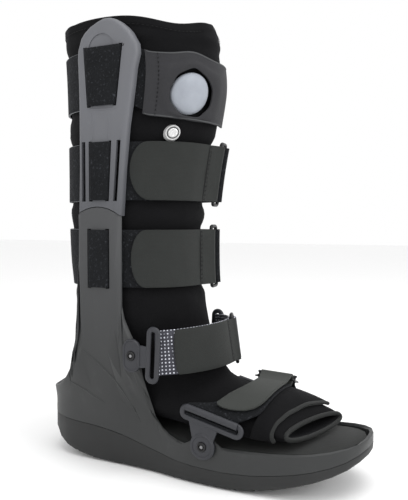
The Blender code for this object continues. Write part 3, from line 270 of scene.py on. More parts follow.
def woven(name, low, high, rib, rib_pitch, rib_share, weave_pitch=0.0011):
    """Grey-green woven tape: crosswise ribs over a lengthwise weave, with paler rubbed threads."""
    made = Finish(name, Sheen_Weight=0.06, Sheen_Roughness=0.4, Specular_IOR_Level=0.2)
    along, across = made.axis("X", made.flat), made.axis("Y", made.flat)
    ribs = along.sine(rib_pitch)
    weave = across.sine(weave_pitch)
    drift = made.noise(60.0, 5.0, 0.65)
    tone = made.blend(drift, low, high)
    tone = made.blend(ribs * (0.4 + 0.6 * weave) * rib_share, tone, rib)
    made.colour(made.blend(made.noise(1100.0, 2.0).step(0.58, 0.72) * 0.25, tone, rib))
    made.rough(0.76)
    made.bump(ribs * 0.7 + weave * 0.4, 0.00024, 0.6)
    made.bump(made.noise(1300.0, 3.0), 0.00016, 0.5)
    return made.material


def dotted_webbing():
    """Bluish grey ankle webbing with rows of small moulded dots, some coloured near-white as painted glints."""
    made = Finish("dotted_webbing", Specular_IOR_Level=0.3)
    along, across = made.axis("X", made.flat), made.axis("Y", made.flat)
    pitch = 0.0031
    u = made.start.maths("FRACT", along * (1 / pitch)) - 0.5
    v = made.start.maths("FRACT", across * (1 / pitch)) - 0.5
    away = made.start.maths("SQRT", u * u + v * v)
    dots = 1 - away.step(0.17, 0.27)
    glinting = made.noise(420.0, 2.0).step(0.34, 0.52)
    tone = made.blend(made.noise(70.0, 4.0), (0.026, 0.027, 0.036), (0.048, 0.049, 0.062))
    # painted highlight: the dots that glinting picks are coloured near-white to stand for glints of light
    made.colour(made.blend(dots * glinting, tone, (0.62, 0.63, 0.70)))
    made.rough(0.6)
    made.bump(dots + 0.3 * across.sine(0.0009), 0.0003, 0.7)
    return made.material


def loop_plastic():
    made = Finish("loop_plastic", Specular_IOR_Level=0.42)
    made.colour(made.blend(made.noise(60.0, 4.0), (0.015, 0.016, 0.020), (0.028, 0.029, 0.035)))
    made.rough(0.36 + 0.14 * made.noise(90.0, 4.0))
    made.bump(made.noise(1700.0, 2.0), 0.00006, 0.5)
    return made.material


def black_wire():
    made = Finish("black_wire", Specular_IOR_Level=0.35)
    made.colour(made.blend(made.noise(200.0, 3.0), (0.003, 0.003, 0.0035), (0.009, 0.009, 0.010)))
    made.rough(0.30 + 0.12 * made.noise(150.0, 3.0))
    return made.material


def rivet_steel():
    made = Finish("rivet_steel", metallic=0.7)
    made.colour(made.blend(made.noise(400.0, 4.0), (0.12, 0.12, 0.125), (0.34, 0.34, 0.345)))
    made.rough(0.30 + 0.22 * made.noise(500.0, 4.0))
    return made.material


def bulb_vinyl():
    """Bluish grey soft vinyl with a dusty grain."""
    made = Finish("bulb_vinyl", Specular_IOR_Level=0.3)
    drift = made.noise(55.0, 5.0, 0.6)
    made.colour(made.blend(drift, (0.2160, 0.2320, 0.2640), (0.3440, 0.3680, 0.4080)))
    made.rough(0.50 + 0.2 * made.noise(140.0, 4.0))
    made.bump(made.noise(700.0, 4.0), 0.0002, 0.5)
    made.bump(made.noise(120.0, 3.0), 0.0006, 0.5)
    return made.material


def valve_chrome():
    made = Finish("valve_chrome", metallic=0.35)
    made.colour(made.blend(made.noise(500.0, 3.0), (0.48, 0.48, 0.48), (0.74, 0.74, 0.74)))
    made.rough(0.16 + 0.18 * made.noise(600.0, 3.0))
    return made.material


def sewing_thread(name, colour):
    made = Finish(name, Specular_IOR_Level=0.2)
    dark = tuple(0.6 * c for c in colour)
    made.colour(made.blend(made.noise(1500.0, 2.0), dark, colour))
    made.rough(0.6)
    return made.material


# The strut plastic is lighter than the shell's, partly its own paler tone and partly painted light on the upper boot.
STRUT = moulded_plastic(
    "strut_plastic", (0.066, 0.068, 0.076), (0.112, 0.115, 0.127), (0.15, 0.152, 0.16), 0.33, 0.22
)
PLASTIC = moulded_plastic(
    "shell_plastic", (0.0177, 0.0190, 0.0190), (0.0490, 0.0503, 0.0530), (0.0510, 0.0524, 0.0544), 0.235, 0.07
)
RUBBER = rocker_rubber()
FOAM = footbed_foam()
VELOUR = velour()
PILE = loop_pile()
WEBBING = woven(
    "tab_webbing", (0.0144, 0.0156, 0.0150), (0.0216, 0.0234, 0.0222), (0.0372, 0.0402, 0.0378), 0.0009, 0.25
)
RIBBED = woven(
    "ribbed_webbing", (0.0210, 0.0232, 0.0218), (0.0315, 0.0338, 0.0315), (0.0750, 0.0795, 0.0735), 0.00135, 0.7
)
COVER = woven(
    "cover_cloth", (0.0182, 0.0182, 0.0203), (0.0280, 0.0280, 0.0308), (0.0476, 0.0476, 0.0518), 0.0008, 0.22
)
BINDING = woven(
    "binding_tape", (0.0096, 0.0102, 0.0102), (0.0180, 0.0192, 0.0186), (0.0330, 0.0348, 0.0336), 0.0010, 0.3
)
DOTTED = dotted_webbing()
LOOPS = loop_plastic()
WIRE = black_wire()
STEEL = rivet_steel()
VINYL = bulb_vinyl()
CHROME = valve_chrome()
BLACK_THREAD = sewing_thread("black_thread", (0.008, 0.008, 0.009))
GREY_THREAD = sewing_thread("grey_thread", (0.075, 0.078, 0.080))
PALE_THREAD = sewing_thread("pale_thread", (0.20, 0.21, 0.22))


# The leg's form, from which the liner and the straps are laid

TOE_SLANT = 0.27
RIM_DIP, RIM_DIP_ANGLE = 0.008, 38.0
LINER_WALL, TOE_WALL, TOE_WALL_ROW = 0.007, 0.0028, 14
LinerRow = namedtuple("LinerRow", "front_y front_z back_y back_z half")
LINER = [  # y as shares of HEEL_REACH, z of BOOT_HEIGHT, half of LINER_WIDTH
    LinerRow(-0.886, 0.981, 0.794, 0.985, 0.425),
    LinerRow(-0.940, 0.940, 0.778, 0.942, 0.430),
    LinerRow(-0.972, 0.865, 0.756, 0.865, 0.430),
    LinerRow(-0.881, 0.755, 0.735, 0.755, 0.430),
    LinerRow(-0.789, 0.657, 0.724, 0.657, 0.430),
    LinerRow(-0.729, 0.560, 0.719, 0.560, 0.430),
    LinerRow(-0.719, 0.462, 0.697, 0.455, 0.430),
    LinerRow(-0.735, 0.390, 0.659, 0.365, 0.430),
    LinerRow(-0.783, 0.330, 0.681, 0.280, 0.425),
    LinerRow(-0.854, 0.291, 0.762, 0.200, 0.400),
    LinerRow(-0.929, 0.260, 0.886, 0.148, 0.352),
    LinerRow(-1.010, 0.233, 0.756, 0.121, 0.325),
    LinerRow(-1.102, 0.211, 0.411, 0.118, 0.330),
    LinerRow(-1.210, 0.195, 0.022, 0.112, 0.352),
    LinerRow(-1.340, 0.184, -0.519, 0.101, 0.362),
    LinerRow(-1.491, 0.178, -1.080, 0.089, 0.376),
    LinerRow(-1.686, 0.173, -1.545, 0.087, 0.380),
    LinerRow(-1.820, 0.163, -1.800, 0.090, 0.376),
    LinerRow(-1.925, 0.146, -1.990, 0.096, 0.364),
    LinerRow(-1.995, 0.131, -2.110, 0.102, 0.350),
]


def smoothstep(low, high, value):
    t = min(1.0, max(0.0, (value - low) / (high - low)))
    return t * t * (3 - 2 * t)


def liner_values(row):
    """The table's columns between two rows, on a smooth curve through all of them."""
    row = min(max(row, 0.0), len(LINER) - 1.0)
    i = min(int(row), len(LINER) - 2)
    t = row - i
    a, b = LINER[i], LINER[i + 1]
    before, after = LINER[max(0, i - 1)], LINER[min(len(LINER) - 1, i + 2)]
    made = []
    for p, q, r, s in zip(before, a, b, after):
        m0, m1 = (r - p) / 2, (s - q) / 2
        start = q * (1 + 2 * t) * (1 - t) ** 2 + m0 * t * (1 - t) ** 2
        made.append(start + r * t * t * (3 - 2 * t) + m1 * t * t * (t - 1))
    return made


def liner_point(row, angle, lift=0.0):
    """A point of the liner's surface: angle in degrees from its front, positive towards the near side."""
    mixed = liner_values(row)
    front = Vector((0, mixed[0] * HEEL_REACH, mixed[1] * BOOT_HEIGHT))
    back = Vector((0, mixed[2] * HEEL_REACH, mixed[3] * BOOT_HEIGHT))
    middle, reach = (front + back) / 2, (front - back) / 2
    half = mixed[4] * LINER_WIDTH + lift
    reach *= 1 + lift / reach.length
    c, s = math.cos(math.radians(angle)), math.sin(math.radians(angle))
    across = -half * math.copysign(abs(s) ** 0.94, s)
    slant = -TOE_SLANT * across * smoothstep(16.0, 18.5, row)
    turned = (angle + 180) % 360 - 180
    dip = RIM_DIP * math.exp(-(((abs(turned) - RIM_DIP_ANGLE) / 28) ** 2)) * smoothstep(1.4, 0.0, row)
    return middle + reach * math.copysign(abs(c) ** 0.94, c) + Vector((across, slant, -dip))


def liner_row(z):
    low, high = 0.0, 8.0
    for _ in range(26):
        middle = (low + high) / 2
        if liner_values(middle)[1] * BOOT_HEIGHT > z:
            low = middle
        else:
            high = middle
    return low


ROWS = {}


def leg_point(angle, lift, z):
    key = round(z, 6)
    if key not in ROWS:
        ROWS[key] = liner_row(z)
    at = liner_point(ROWS[key], angle, lift)
    return Vector((at.x, at.y, z))


def leg_angle(y, z, lift):
    low, high = 0.0, 180.0
    for _ in range(26):
        middle = (low + high) / 2
        if leg_point(middle, lift, z).y < y:
            low = middle
        else:
            high = middle
    return low


# Making pieces


def place(made, finish, node=None, slot=None, smooth=40):
    """Links a piece, gives it its finish, lets it ride and hides the model's parts that it stands for."""
    if made.name not in bpy.context.scene.collection.objects:
        bpy.context.scene.collection.objects.link(made)
    made.data.materials.clear()
    made.data.materials.append(finish)
    if made.type == "MESH":
        made.data.shade_smooth()
        made.data.set_sharp_from_angle(angle=math.radians(smooth))
    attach(made, "root")
    if node:
        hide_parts(*([node] if isinstance(node, str) else node))
    return made


def mesh_piece(name, points, faces, flat=None):
    mesh = bpy.data.meshes.new(name)
    mesh.from_pydata([tuple(p) for p in points], [], faces)
    if flat:
        layer = mesh.uv_layers.new(name="flat")
        for loop in mesh.loops:
            layer.data[loop.index].uv = flat[loop.vertex_index]
    mesh.update()
    return bpy.data.objects.new(name, mesh)


def grid_faces(rows, columns, closed=False):
    made = []
    for r in range(rows - 1):
        for c in range(columns if closed else columns - 1):
            d = (c + 1) % columns
            made.append((r * columns + c, r * columns + d, (r + 1) * columns + d, (r + 1) * columns + c))
    return made


def outward(mesh):
    """Turns a closed mesh's faces outwards."""
    tidy = bmesh.new()
    tidy.from_mesh(mesh)
    bmesh.ops.recalc_face_normals(tidy, faces=tidy.faces)
    tidy.to_mesh(mesh)
    tidy.free()


def round_edges(made, width, segments=2, angle=40):
    edge = made.modifiers.new("edge", "BEVEL")
    edge.width = width
    edge.segments = segments
    edge.limit_method = "ANGLE"
    edge.angle_limit = math.radians(angle)


def tube(name, path, radius, closed=False, sides=10, squash=1.0, up=None, ends=0.0):
    """A cord, welt or wire along points; squash flattens it along up, ends tapers its two ends."""
    rings = []
    count = len(path)
    for i, at in enumerate(path):
        before = path[i - 1] if closed or i else at
        after = path[(i + 1) % count] if closed or i < count - 1 else at
        along = (after - before).normalized()
        reference = up[i] if isinstance(up, list) else (up or Vector((0.13, 0.21, 0.97)))
        side = along.cross(reference).normalized()
        over = side.cross(along)
        slender = 1 - math.sin(math.pi * min(1.0, max(0.0, i / (count - 1)))) ** 0.5
        share = 1.0 if closed else 1 - ends * slender
        rings.append([
            at
            + radius * share
            * (side * math.cos(2 * math.pi * k / sides) + over * squash * math.sin(2 * math.pi * k / sides))
            for k in range(sides)
        ])
    points = [p for ring in rings for p in ring]
    faces = grid_faces(count, sides, True)
    if closed:
        last = (count - 1) * sides
        faces += [(last + k, last + (k + 1) % sides, (k + 1) % sides, k) for k in range(sides)]
    else:
        faces.append(tuple(reversed(range(sides))))
        faces.append(tuple(range((count - 1) * sides, count * sides)))
    lengths = lengths_of(path + path[:1] if closed else path)
    flat = [(lengths[i], radius * 2 * math.pi * k / sides) for i in range(count) for k in range(sides)]
    made = mesh_piece(name, points, faces, flat)
    outward(made.data)
    return made


THREAD_FORM = ((0.0, 0.35, -0.6), (0.12, 0.9, 0.2), (0.5, 1.0, 0.55), (0.88, 0.9, 0.2), (1.0, 0.35, -0.6))
THREAD_SIDES = 6


def stitches(name, runs, finish, radius=0.00032, slot="webbing"):
    """Short threads, each between two points a little over the cloth, as one piece."""
    points, faces = [], []
    for start, end, out in runs:
        along = (end - start).normalized()
        side = along.cross(out).normalized()
        length = (end - start).length
        first = len(points)
        for share, size, high in THREAD_FORM:
            middle = start + along * length * share + out * radius * high
            for k in range(THREAD_SIDES):
                a = math.pi * k / 3
                points.append(middle + radius * size * (side * math.cos(a) + out * math.sin(a)))
        rings = len(THREAD_FORM)
        faces += [tuple(first + v for v in face) for face in grid_faces(rings, THREAD_SIDES, True)]
        for ring in (0, rings - 1):
            faces.append(tuple(first + ring * THREAD_SIDES + k for k in range(THREAD_SIDES)))
    made = mesh_piece(name, points, faces)
    outward(made.data)
    return place(made, finish, slot=slot)


def lengths_of(path):
    made = [0.0]
    for a, b in zip(path, path[1:]):
        made.append(made[-1] + (b - a).length)
    return made


def resample(path, count, skip=0.0):
    lengths = lengths_of(path)
    made = []
    k = 0
    for i in range(count):
        at = skip + (lengths[-1] - skip) * i / (count - 1)
        while k < len(path) - 2 and lengths[k + 1] < at:
            k += 1
        made.append(path[k].lerp(path[k + 1], min(1.0, (at - lengths[k]) / (lengths[k + 1] - lengths[k]))))
    return made


def ribbon(name, rows, thickness, round_edge=0.0004):
    """A strap through rows of points across its width, with rounded edges and a flat map in metres."""
    columns = len(rows[0])
    middle = lengths_of(rows[len(rows) // 2])
    across = [0.0]
    for a, b in zip(rows, rows[1:]):
        across.append(across[-1] + (b[columns // 2] - a[columns // 2]).length)
    points = [p for row in rows for p in row]
    flat = [(middle[c], across[r]) for r in range(len(rows)) for c in range(columns)]
    made = mesh_piece(name, points, grid_faces(len(rows), columns), flat)
    made["width"], made["length"] = across[-1], max(lengths_of(row)[-1] for row in rows)
    thick = made.modifiers.new("thickness", "SOLIDIFY")
    thick.thickness = thickness
    thick.offset = 0
    thick.use_quality_normals = True
    round_edges(made, round_edge, angle=50)
    return made


def cloth(made):
    """Works out the cloth area of a strap or flap from the size that it was cut to; the result is not kept."""
    width, length = made["width"], made["length"]
    cut = sum(face.area for face in made.data.polygons)
    area = min(1.0, max(0.31, cut / (width * length))) * width * length


def turn_corner(before, corner, after, size, steps=4):
    start = corner + (before - corner).normalized() * size
    end = corner + (after - corner).normalized() * size
    made = []
    for i in range(steps + 1):
        t = i / steps
        made.append(start * (1 - t) ** 2 + corner * 2 * t * (1 - t) + end * t * t)
    return made


def step_length(point_at, angle):
    return (point_at(angle + 0.5, 0.002) - point_at(angle - 0.5, 0.002)).length


def turn_round(point_at, angle, inner, outer, way, start=90, steps=14):
    """A turn of a strap round a ring's bar, from the outer layer to the inner one."""
    middle, radius = (outer + inner) / 2, (outer - inner) / 2
    length = step_length(point_at, angle)
    made = []
    for step in range(steps + 1):
        a = math.radians(start - (start + 90) * step / steps)
        made.append(point_at(angle + way * radius * math.cos(a) / length, middle + radius * math.sin(a)))
    return made


def wire_ring(name, corners, radius, node):
    path = []
    for i, corner in enumerate(corners):
        before, after = corners[i - 1], corners[(i + 1) % len(corners)]
        size = min(1.6 * radius, 0.4 * (before - corner).length, 0.4 * (after - corner).length)
        path += turn_corner(before, corner, after, size, 5)
    normal = (corners[1] - corners[0]).cross(corners[2] - corners[1]).normalized()
    place(tube(name, path, radius, True, 12, 1.0, normal), WIRE, node, "black_plastic", 60)


# Leg straps

STRAP_WIDTH = 0.051
STRAP_THICKNESS = 0.002
STRAP_LIFT = 0.0024
TAB_THICKNESS = 0.0018
RING_RADIUS = 0.0017
RING_SPAN = 0.0104
RING_ANGLE = -21.0
TAB_START = -0.0262
COVER_START = -0.0415
COVER_END = -20.0
COVER_RISE = 0.004
COVER_LIP = 0.0035
STAND_START, STAND_PEAK, STAND_END = 12.0, -24.0, -58.0
DROP_REACH, DROP_START, DROP_FULL = 100.0, 78.0, 62.0
BULB_ANGLE, BULB_Z, BULB_RADIUS, BULB_DEPTH = 31.0, 0.3355, 0.0180, 0.0080
VALVE_ANGLE, VALVE_Z, VALVE_RADIUS, VALVE_DEPTH = 42.0, 0.3012, 0.0068, 0.0055
LegStrap = namedtuple("LegStrap", "name low front_low front_high back_low back_high stand drop")
TOP_STRAP = LegStrap("top", 0.3254, -0.0166, -0.0235, 0.0101, 0.0137, 0.0, 0.0105)
MIDDLE_STRAP = LegStrap("middle", 0.2428, -0.0084, -0.0114, 0.0086, 0.0086, 0.009, 0.0)
LOWER_STRAP = LegStrap("lower", 0.1658, -0.0085, -0.0085, 0.0107, 0.0107, 0.009, 0.0)
STRAPS = (TOP_STRAP, MIDDLE_STRAP, LOWER_STRAP)


def stand_off(angle):
    if angle > STAND_PEAK:
        return max(0.0, (STAND_START - angle) / (STAND_START - STAND_PEAK)) ** 2
    return smoothstep(STAND_END, STAND_PEAK, angle)


def strap_point(strap, angle, lift, z):
    """A point of a strap beyond its slots, where it may stand off the leg or fall towards the front."""
    turned = (angle + 180) % 360 - 180
    falling = max(0.0, 1 - (turned / DROP_REACH) ** 2) * smoothstep(DROP_START, DROP_FULL, abs(turned))
    off = strap.stand * stand_off(turned) if strap.stand else 0.0
    return leg_point(angle, lift + off, z) - Vector((0, 0, strap.drop * falling))


def through_slots(strap, z, side):
    share = (z - strap.low) / STRAP_WIDTH
    front = strap.front_low + (strap.front_high - strap.front_low) * share
    back = strap.back_low + (strap.back_high - strap.back_low) * share
    outside = UPRIGHT_SPAN / 2 + GAP + STRAP_THICKNESS / 2
    inside_front = leg_point(leg_angle(front, z, STRAP_LIFT), STRAP_LIFT, z)
    inside_back = leg_point(leg_angle(back, z, STRAP_LIFT), STRAP_LIFT, z)
    front_angle, back_angle = leg_angle(front - 0.006, z, STRAP_LIFT), leg_angle(back + 0.006, z, STRAP_LIFT)
    corners = [
        leg_point(front_angle, STRAP_LIFT, z),
        Vector((inside_front.x, front, z)),
        Vector((-outside, front, z)),
        Vector((-outside, back, z)),
        Vector((inside_back.x, back, z)),
        leg_point(back_angle, STRAP_LIFT, z),
    ]
    path = [corners[0]]
    for a, b, c in zip(corners, corners[1:], corners[2:]):
        path += turn_corner(a, b, c, 0.0024)
    path.append(corners[-1])
    if side > 0:
        return [Vector((-p.x, p.y, p.z)) for p in path[::-1]], 360 - back_angle, 360 - front_angle
    return path, front_angle, back_angle


def bar_lift():
    return STRAP_LIFT + STRAP_THICKNESS / 2 + GAP + RING_RADIUS


def ring_bars(strap):
    z = strap.low + STRAP_WIDTH / 2
    spread = RING_SPAN / 2 / step_length(lambda a, d: leg_point(a, d, z), RING_ANGLE)
    return RING_ANGLE + spread, RING_ANGLE - spread


def leg_strap(strap, first, last, wraps):
    rows = []
    for i in range(9):
        z = strap.low + STRAP_WIDTH * i / 8
        near, near_front, near_back = through_slots(strap, z, -1)
        far, far_back, far_front = through_slots(strap, z, 1)
        path = [strap_point(strap, first + (near_front - first) * k / 30, STRAP_LIFT, z) for k in range(30)]
        path += near
        path += [leg_point(near_back + (far_back - near_back) * k / 40, STRAP_LIFT, z) for k in range(1, 40)]
        path += far
        rest = 360 + last - far_front
        path += [strap_point(strap, far_front + rest * k / 20, STRAP_LIFT, z) for k in range(1, 21)]
        if wraps:
            inner, outer = STRAP_LIFT, 2 * bar_lift() - STRAP_LIFT
            turned = turn_round(lambda a, d: strap_point(strap, a, d, z), last, inner, outer, 1)
            path += turned[::-1][1:]
            path.append(strap_point(strap, last - 9, outer * 0.8, z))
        rows.append(path)
    made = ribbon(f"{strap.name}_strap_pile", rows, STRAP_THICKNESS)
    place(made, PILE, f"{strap.name}_strap", "loop_tape")
    for label, row, lift in (("lower", rows[0], -0.0002), ("upper", rows[-1], 0.0002)):
        path = [p + Vector((0, 0, lift)) for p in row[34:-12] if p.y > 0.022]
        edge = tube(f"{strap.name}_{label}_selvedge", path, 0.0011, False, 8, 0.4, Vector((0, 0, 1)), 0.6)
        place(edge, PALE_THREAD, slot="loop_tape")
    cloth(made)


def tab_rows(strap, count=15):
    lift = STRAP_LIFT + STRAP_THICKNESS / 2 + GAP + TAB_THICKNESS / 2
    inner = bar_lift() - RING_RADIUS - GAP - TAB_THICKNESS / 2
    outer = bar_lift() + RING_RADIUS + GAP + TAB_THICKNESS / 2
    near_bar = ring_bars(strap)[0]
    rows = []
    for i in range(count):
        across = math.sin(math.pi * (i / (count - 1) - 0.5))
        z = strap.low + STRAP_WIDTH * (0.5 + 0.5 * across)
        first = leg_angle(TAB_START, z, STRAP_LIFT)
        path = [strap_point(strap, first + (near_bar + 14 - first) * k / 40, lift, z) for k in range(41)]
        cut = STRAP_WIDTH * (0.34 if strap is MIDDLE_STRAP else 0.26)
        cut *= 1 - math.sqrt(max(0.0, 1 - across * across))
        held = strap_point(strap, near_bar, 0.0, z) - leg_point(near_bar, 0.0, z)
        turned = turn_round(lambda a, d: leg_point(a, d, z) + held, near_bar, inner, outer, -1, 140)
        rows.append(resample(path, 40, cut) + turned)
    return rows


def seam(name, low, high, ahead, out, count, length):
    """A sewn-down end: a black line from low to high, painted shade standing for the groove, with a column of short
    threads beside it.
    """
    line = [low.lerp(high, i / 20) + out * 0.0001 for i in range(21)]
    # painted shade: the black line stands for the dark of the groove
    place(tube(f"{name}_line", line, 0.00045, False, 6, 0.6, out, 0.5), BLACK_THREAD, slot="webbing")
    runs = []
    for i in range(count):
        middle = low.lerp(high, 0.04 + 0.92 * i / (count - 1)) + ahead * (0.0008 + length / 2)
        tilt = (high - low).normalized() * length * 0.08
        runs.append((middle - ahead * length / 2 - tilt, middle + ahead * length / 2 + tilt, out))
    stitches(f"{name}_threads", runs, BLACK_THREAD, 0.00034)


LEG_SEAM_COLUMN = 37


def leg_tab(strap):
    rows = tab_rows(strap)
    made = ribbon(f"{strap.name}_tab_webbing", rows, TAB_THICKNESS)
    place(made, WEBBING, f"{strap.name}_strap_tab", "webbing")
    low, high = rows[0], rows[-1]
    at = LEG_SEAM_COLUMN
    ahead = (rows[7][at + 1] - rows[7][at]).normalized()
    out = (high[at] - low[at]).normalized().cross(ahead).normalized()
    if out.dot(low[at] - Vector((0, 0, low[at].z))) < 0:
        out = -out
    lift = out * (TAB_THICKNESS / 2)
    seam(f"{strap.name}_tab_seam", low[at] + lift, high[at] + lift, ahead, out, 13, 0.0036)
    cloth(made)
    near, far = ring_bars(strap)
    over = (RING_RADIUS + 3 * GAP) / STRAP_WIDTH
    corners = []
    for angle, ends in ((near, (-over, 1 + over)), (far, (1 + over, -over))):
        bottom = strap_point(strap, angle, bar_lift(), strap.low)
        top = strap_point(strap, angle, bar_lift(), strap.low + STRAP_WIDTH)
        corners += [bottom.lerp(top, share) for share in ends]
    wire_ring(f"{strap.name}_ring_wire", corners, RING_RADIUS, f"{strap.name}_ring")


leg_strap(TOP_STRAP, leg_angle(COVER_START, 0.35, STRAP_LIFT) - 6, COVER_END + 7, False)
for strap in (MIDDLE_STRAP, LOWER_STRAP):
    leg_strap(strap, ring_bars(strap)[0] + 1.2, ring_bars(strap)[1], True)
    leg_tab(strap)


# Cover, bulb and valve

HOLE_ROUGH = (1.03, 1.0, 1.05, 1.02, 1.06, 1.01, 1.04, 1.07, 1.02, 1.05, 1.0, 1.04, 1.03, 1.06, 1.02, 1.05)
HOLE_STEPS, HOLE_RINGS = 96, 14
HOLE_EASE = 0.0008
STITCH_INSET = 8.5  # degrees from the cover's left end to its stitches


def cover_point(angle, share, lift):
    z = TOP_STRAP.low + STRAP_WIDTH * share
    z += share * COVER_RISE * math.exp(-(((angle - BULB_ANGLE) / 14) ** 2)) - COVER_LIP * (1 - share)
    return strap_point(TOP_STRAP, angle, lift, z)


def cover_place(at):
    """The share of a point of the cover across its width, from its height."""
    high, low = cover_point(BULB_ANGLE, 1.0, 0).z, cover_point(BULB_ANGLE, 0.0, 0).z
    return (at - low) / (high - low)


def top_cover():
    """The cloth cover with its rough round hole, laid out as rings from the hole to the outer edge."""
    lift = STRAP_LIFT + STRAP_THICKNESS / 2 + 1.8 * GAP + TAB_THICKNESS / 2
    per = step_length(lambda a, d: leg_point(a, d, BULB_Z), BULB_ANGLE)
    middle_share = cover_place(BULB_Z)
    tall = STRAP_WIDTH + COVER_LIP
    first = leg_angle(COVER_START, 0.35, STRAP_LIFT)
    points, flat = [], []
    for ring in range(HOLE_RINGS + 1):
        t = ring / HOLE_RINGS
        t = 0.35 * t + 0.65 * t * t
        for i in range(HOLE_STEPS):
            a = 2 * math.pi * i / HOLE_STEPS
            c, s = math.cos(a), math.sin(a)
            k = i * len(HOLE_ROUGH) / HOLE_STEPS
            low, high = HOLE_ROUGH[int(k)], HOLE_ROUGH[(int(k) + 1) % len(HOLE_ROUGH)]
            rough = low + (high - low) * smoothstep(0, 1, k - int(k))
            round_hole = (BULB_RADIUS + HOLE_EASE) * rough
            hole = (BULB_ANGLE + round_hole * c / per, middle_share + round_hole * s / tall)
            square = 1 / max(abs(c), abs(s))
            left = first - BULB_ANGLE if c > 0 else BULB_ANGLE - COVER_END
            reach = (1 - middle_share) if s > 0 else middle_share
            edge = (BULB_ANGLE + left * c * square, middle_share + reach * s * square)
            angle, share = (h + (e - h) * t for h, e in zip(hole, edge))
            puff = 0.0007 * math.sin(math.pi * min(1.0, t * 2.2)) if t < 0.4545 else 0.0
            wave = noise.noise(Vector((angle * 0.05, share * 2.2, 0.4))) * 0.0011 * math.sin(math.pi * t)
            points.append(cover_point(angle, share, lift + puff + wave))
            flat.append((angle * per, share * tall))
    made = mesh_piece("top_cover_cloth", points, grid_faces(HOLE_RINGS + 1, HOLE_STEPS, True), flat)
    made["width"], made["length"] = tall + COVER_RISE, (first - COVER_END) * per * 1.02
    thick = made.modifiers.new("thickness", "SOLIDIFY")
    thick.thickness = TAB_THICKNESS
    thick.offset = 0
    round_edges(made, 0.0005, angle=50)
    place(made, COVER, "top_strap_cover", "webbing")
    runs = []
    for i in range(15):
        share = 0.03 + 0.94 * i / 14
        angle = first - STITCH_INSET
        a, b = (cover_point(angle, share + half, lift + TAB_THICKNESS / 2) for half in (-0.018, 0.018))
        out = (cover_point(angle, share, lift + 0.01) - cover_point(angle, share, lift)).normalized()
        runs.append((a, b, out))
    stitches("cover_end_stitches", runs, BLACK_THREAD, 0.00036)
    # The welts are the cover's bound edges, coloured pale grey partly as their own thread and partly as painted
    # highlight on the edges.
    for label, share in (("top", 0.985), ("bottom", 0.015)):
        angles = [first - (first - COVER_END) * (0.01 + 0.98 * i / 60) for i in range(61)]
        path = [cover_point(angle, share, lift + TAB_THICKNESS / 2) for angle in angles]
        up = [(cover_point(BULB_ANGLE, share, 0.01) - cover_point(BULB_ANGLE, share, 0)).normalized()] * 61
        place(tube(f"cover_{label}_welt", path, 0.0006, False, 6, 0.6, up, 0.3), GREY_THREAD, slot="webbing")
    cloth(made)


def leg_disc(name, angle, z, profile, finish, node=None, slot=None, sides=48):
    """A round piece that lies on the leg: the profile holds pairs of radius and lift."""
    per = step_length(lambda a, d: leg_point(a, d, z), angle)
    points = []
    for radius, lift in profile:
        for i in range(sides):
            a = 2 * math.pi * i / sides
            points.append(leg_point(angle + radius * math.cos(a) / per, lift, z + radius * math.sin(a)))
    faces = grid_faces(len(profile), sides, True)
    faces.append(tuple(range(sides)))
    faces.append(tuple((len(profile) - 1) * sides + k for k in range(sides)))
    made = mesh_piece(name, points, faces)
    outward(made.data)
    return place(made, finish, node, slot, 50)


def bulb_and_valve():
    base = GAP
    dome = [
        (
            BULB_RADIUS * math.cos(math.radians(a)) ** 0.7,
            base + 0.0016 + (BULB_DEPTH - 0.0016) * math.sin(math.radians(a)),
        )
        for a in (0, 10, 20, 32, 44, 56, 66, 75, 82, 87)
    ]
    foot = [(0.5 * BULB_RADIUS, base), (BULB_RADIUS, base)]
    leg_disc("bulb_vinyl", BULB_ANGLE, BULB_Z, foot + dome, VINYL, "pump_bulb", "pale_vinyl")
    r, d = VALVE_RADIUS, VALVE_DEPTH
    body = [(0.3 * r, base), (0.96 * r, base), (1.08 * r, base + 0.0008)]
    body += [(1.08 * r, 0.42 * d), (0.98 * r, 0.55 * d)]
    body += [(0.96 * r, 0.86 * d), (0.90 * r, d), (0.80 * r, d), (0.76 * r, 0.86 * d), (0.2 * r, 0.84 * d)]
    leg_disc("valve_collar", VALVE_ANGLE, VALVE_Z, body, CHROME, "valve_body", "valve_metal")
    cap = [(0.2 * r, 0.85 * d), (0.60 * r, 0.85 * d), (0.60 * r, d), (0.54 * r, 1.12 * d), (0.40 * r, 1.16 * d)]
    cap += [(0.32 * r, 1.04 * d), (0.10 * r, 1.03 * d)]
    leg_disc("valve_cap", VALVE_ANGLE, VALVE_Z, cap, CHROME, "valve_button", "valve_metal", 36)
    # painted shade: a grey ring fills the groove between collar and cap, darker than the chrome round it
    groove = [(0.74 * r, 0.80 * d), (0.74 * r, 0.90 * d), (0.62 * r, 0.90 * d), (0.62 * r, 0.80 * d)]
    leg_disc("valve_groove_shade", VALVE_ANGLE, VALVE_Z, groove, GREY_THREAD, None, "black_plastic", 36)


top_cover()
bulb_and_valve()


# Liner

HEM = 0.0072
HEM_STITCHES, HEM_STITCH_LIFT, HEM_STITCH_TOP = 110, 0.0024, 0.3990


def squeeze(z):
    """0 under a strap, rising to 1 midway between straps."""
    nearest = min(max(strap.low - z, z - strap.low - STRAP_WIDTH) for strap in STRAPS)
    return smoothstep(0.0005, 0.011, nearest)


def liner_swell(row, angle, at):
    """How far the padding stands out between the straps, with soft dents and an overlapping front edge."""
    upright = smoothstep(9.5, 7.5, row)
    swell = (0.0020 * squeeze(at.z) - 0.0002) * upright
    dents = noise.noise(at * 38.0) * 0.0014 + noise.noise(at * 95.0) * 0.0005
    edge = (1 - smoothstep(20.0, 21.5, angle)) * smoothstep(-70, -60, angle)
    foot = smoothstep(15.5, 13.5, row)
    down = liner_point(0.0, angle).z - at.z
    hem = 0.0008 * smoothstep(HEM, HEM - 0.0012, down) if row < 2 else 0.0
    overlap = 0.0010 * edge * squeeze(at.z) * smoothstep(12.5, 11.5, row)
    return swell + dents * squeeze(at.z) * foot + overlap + hem


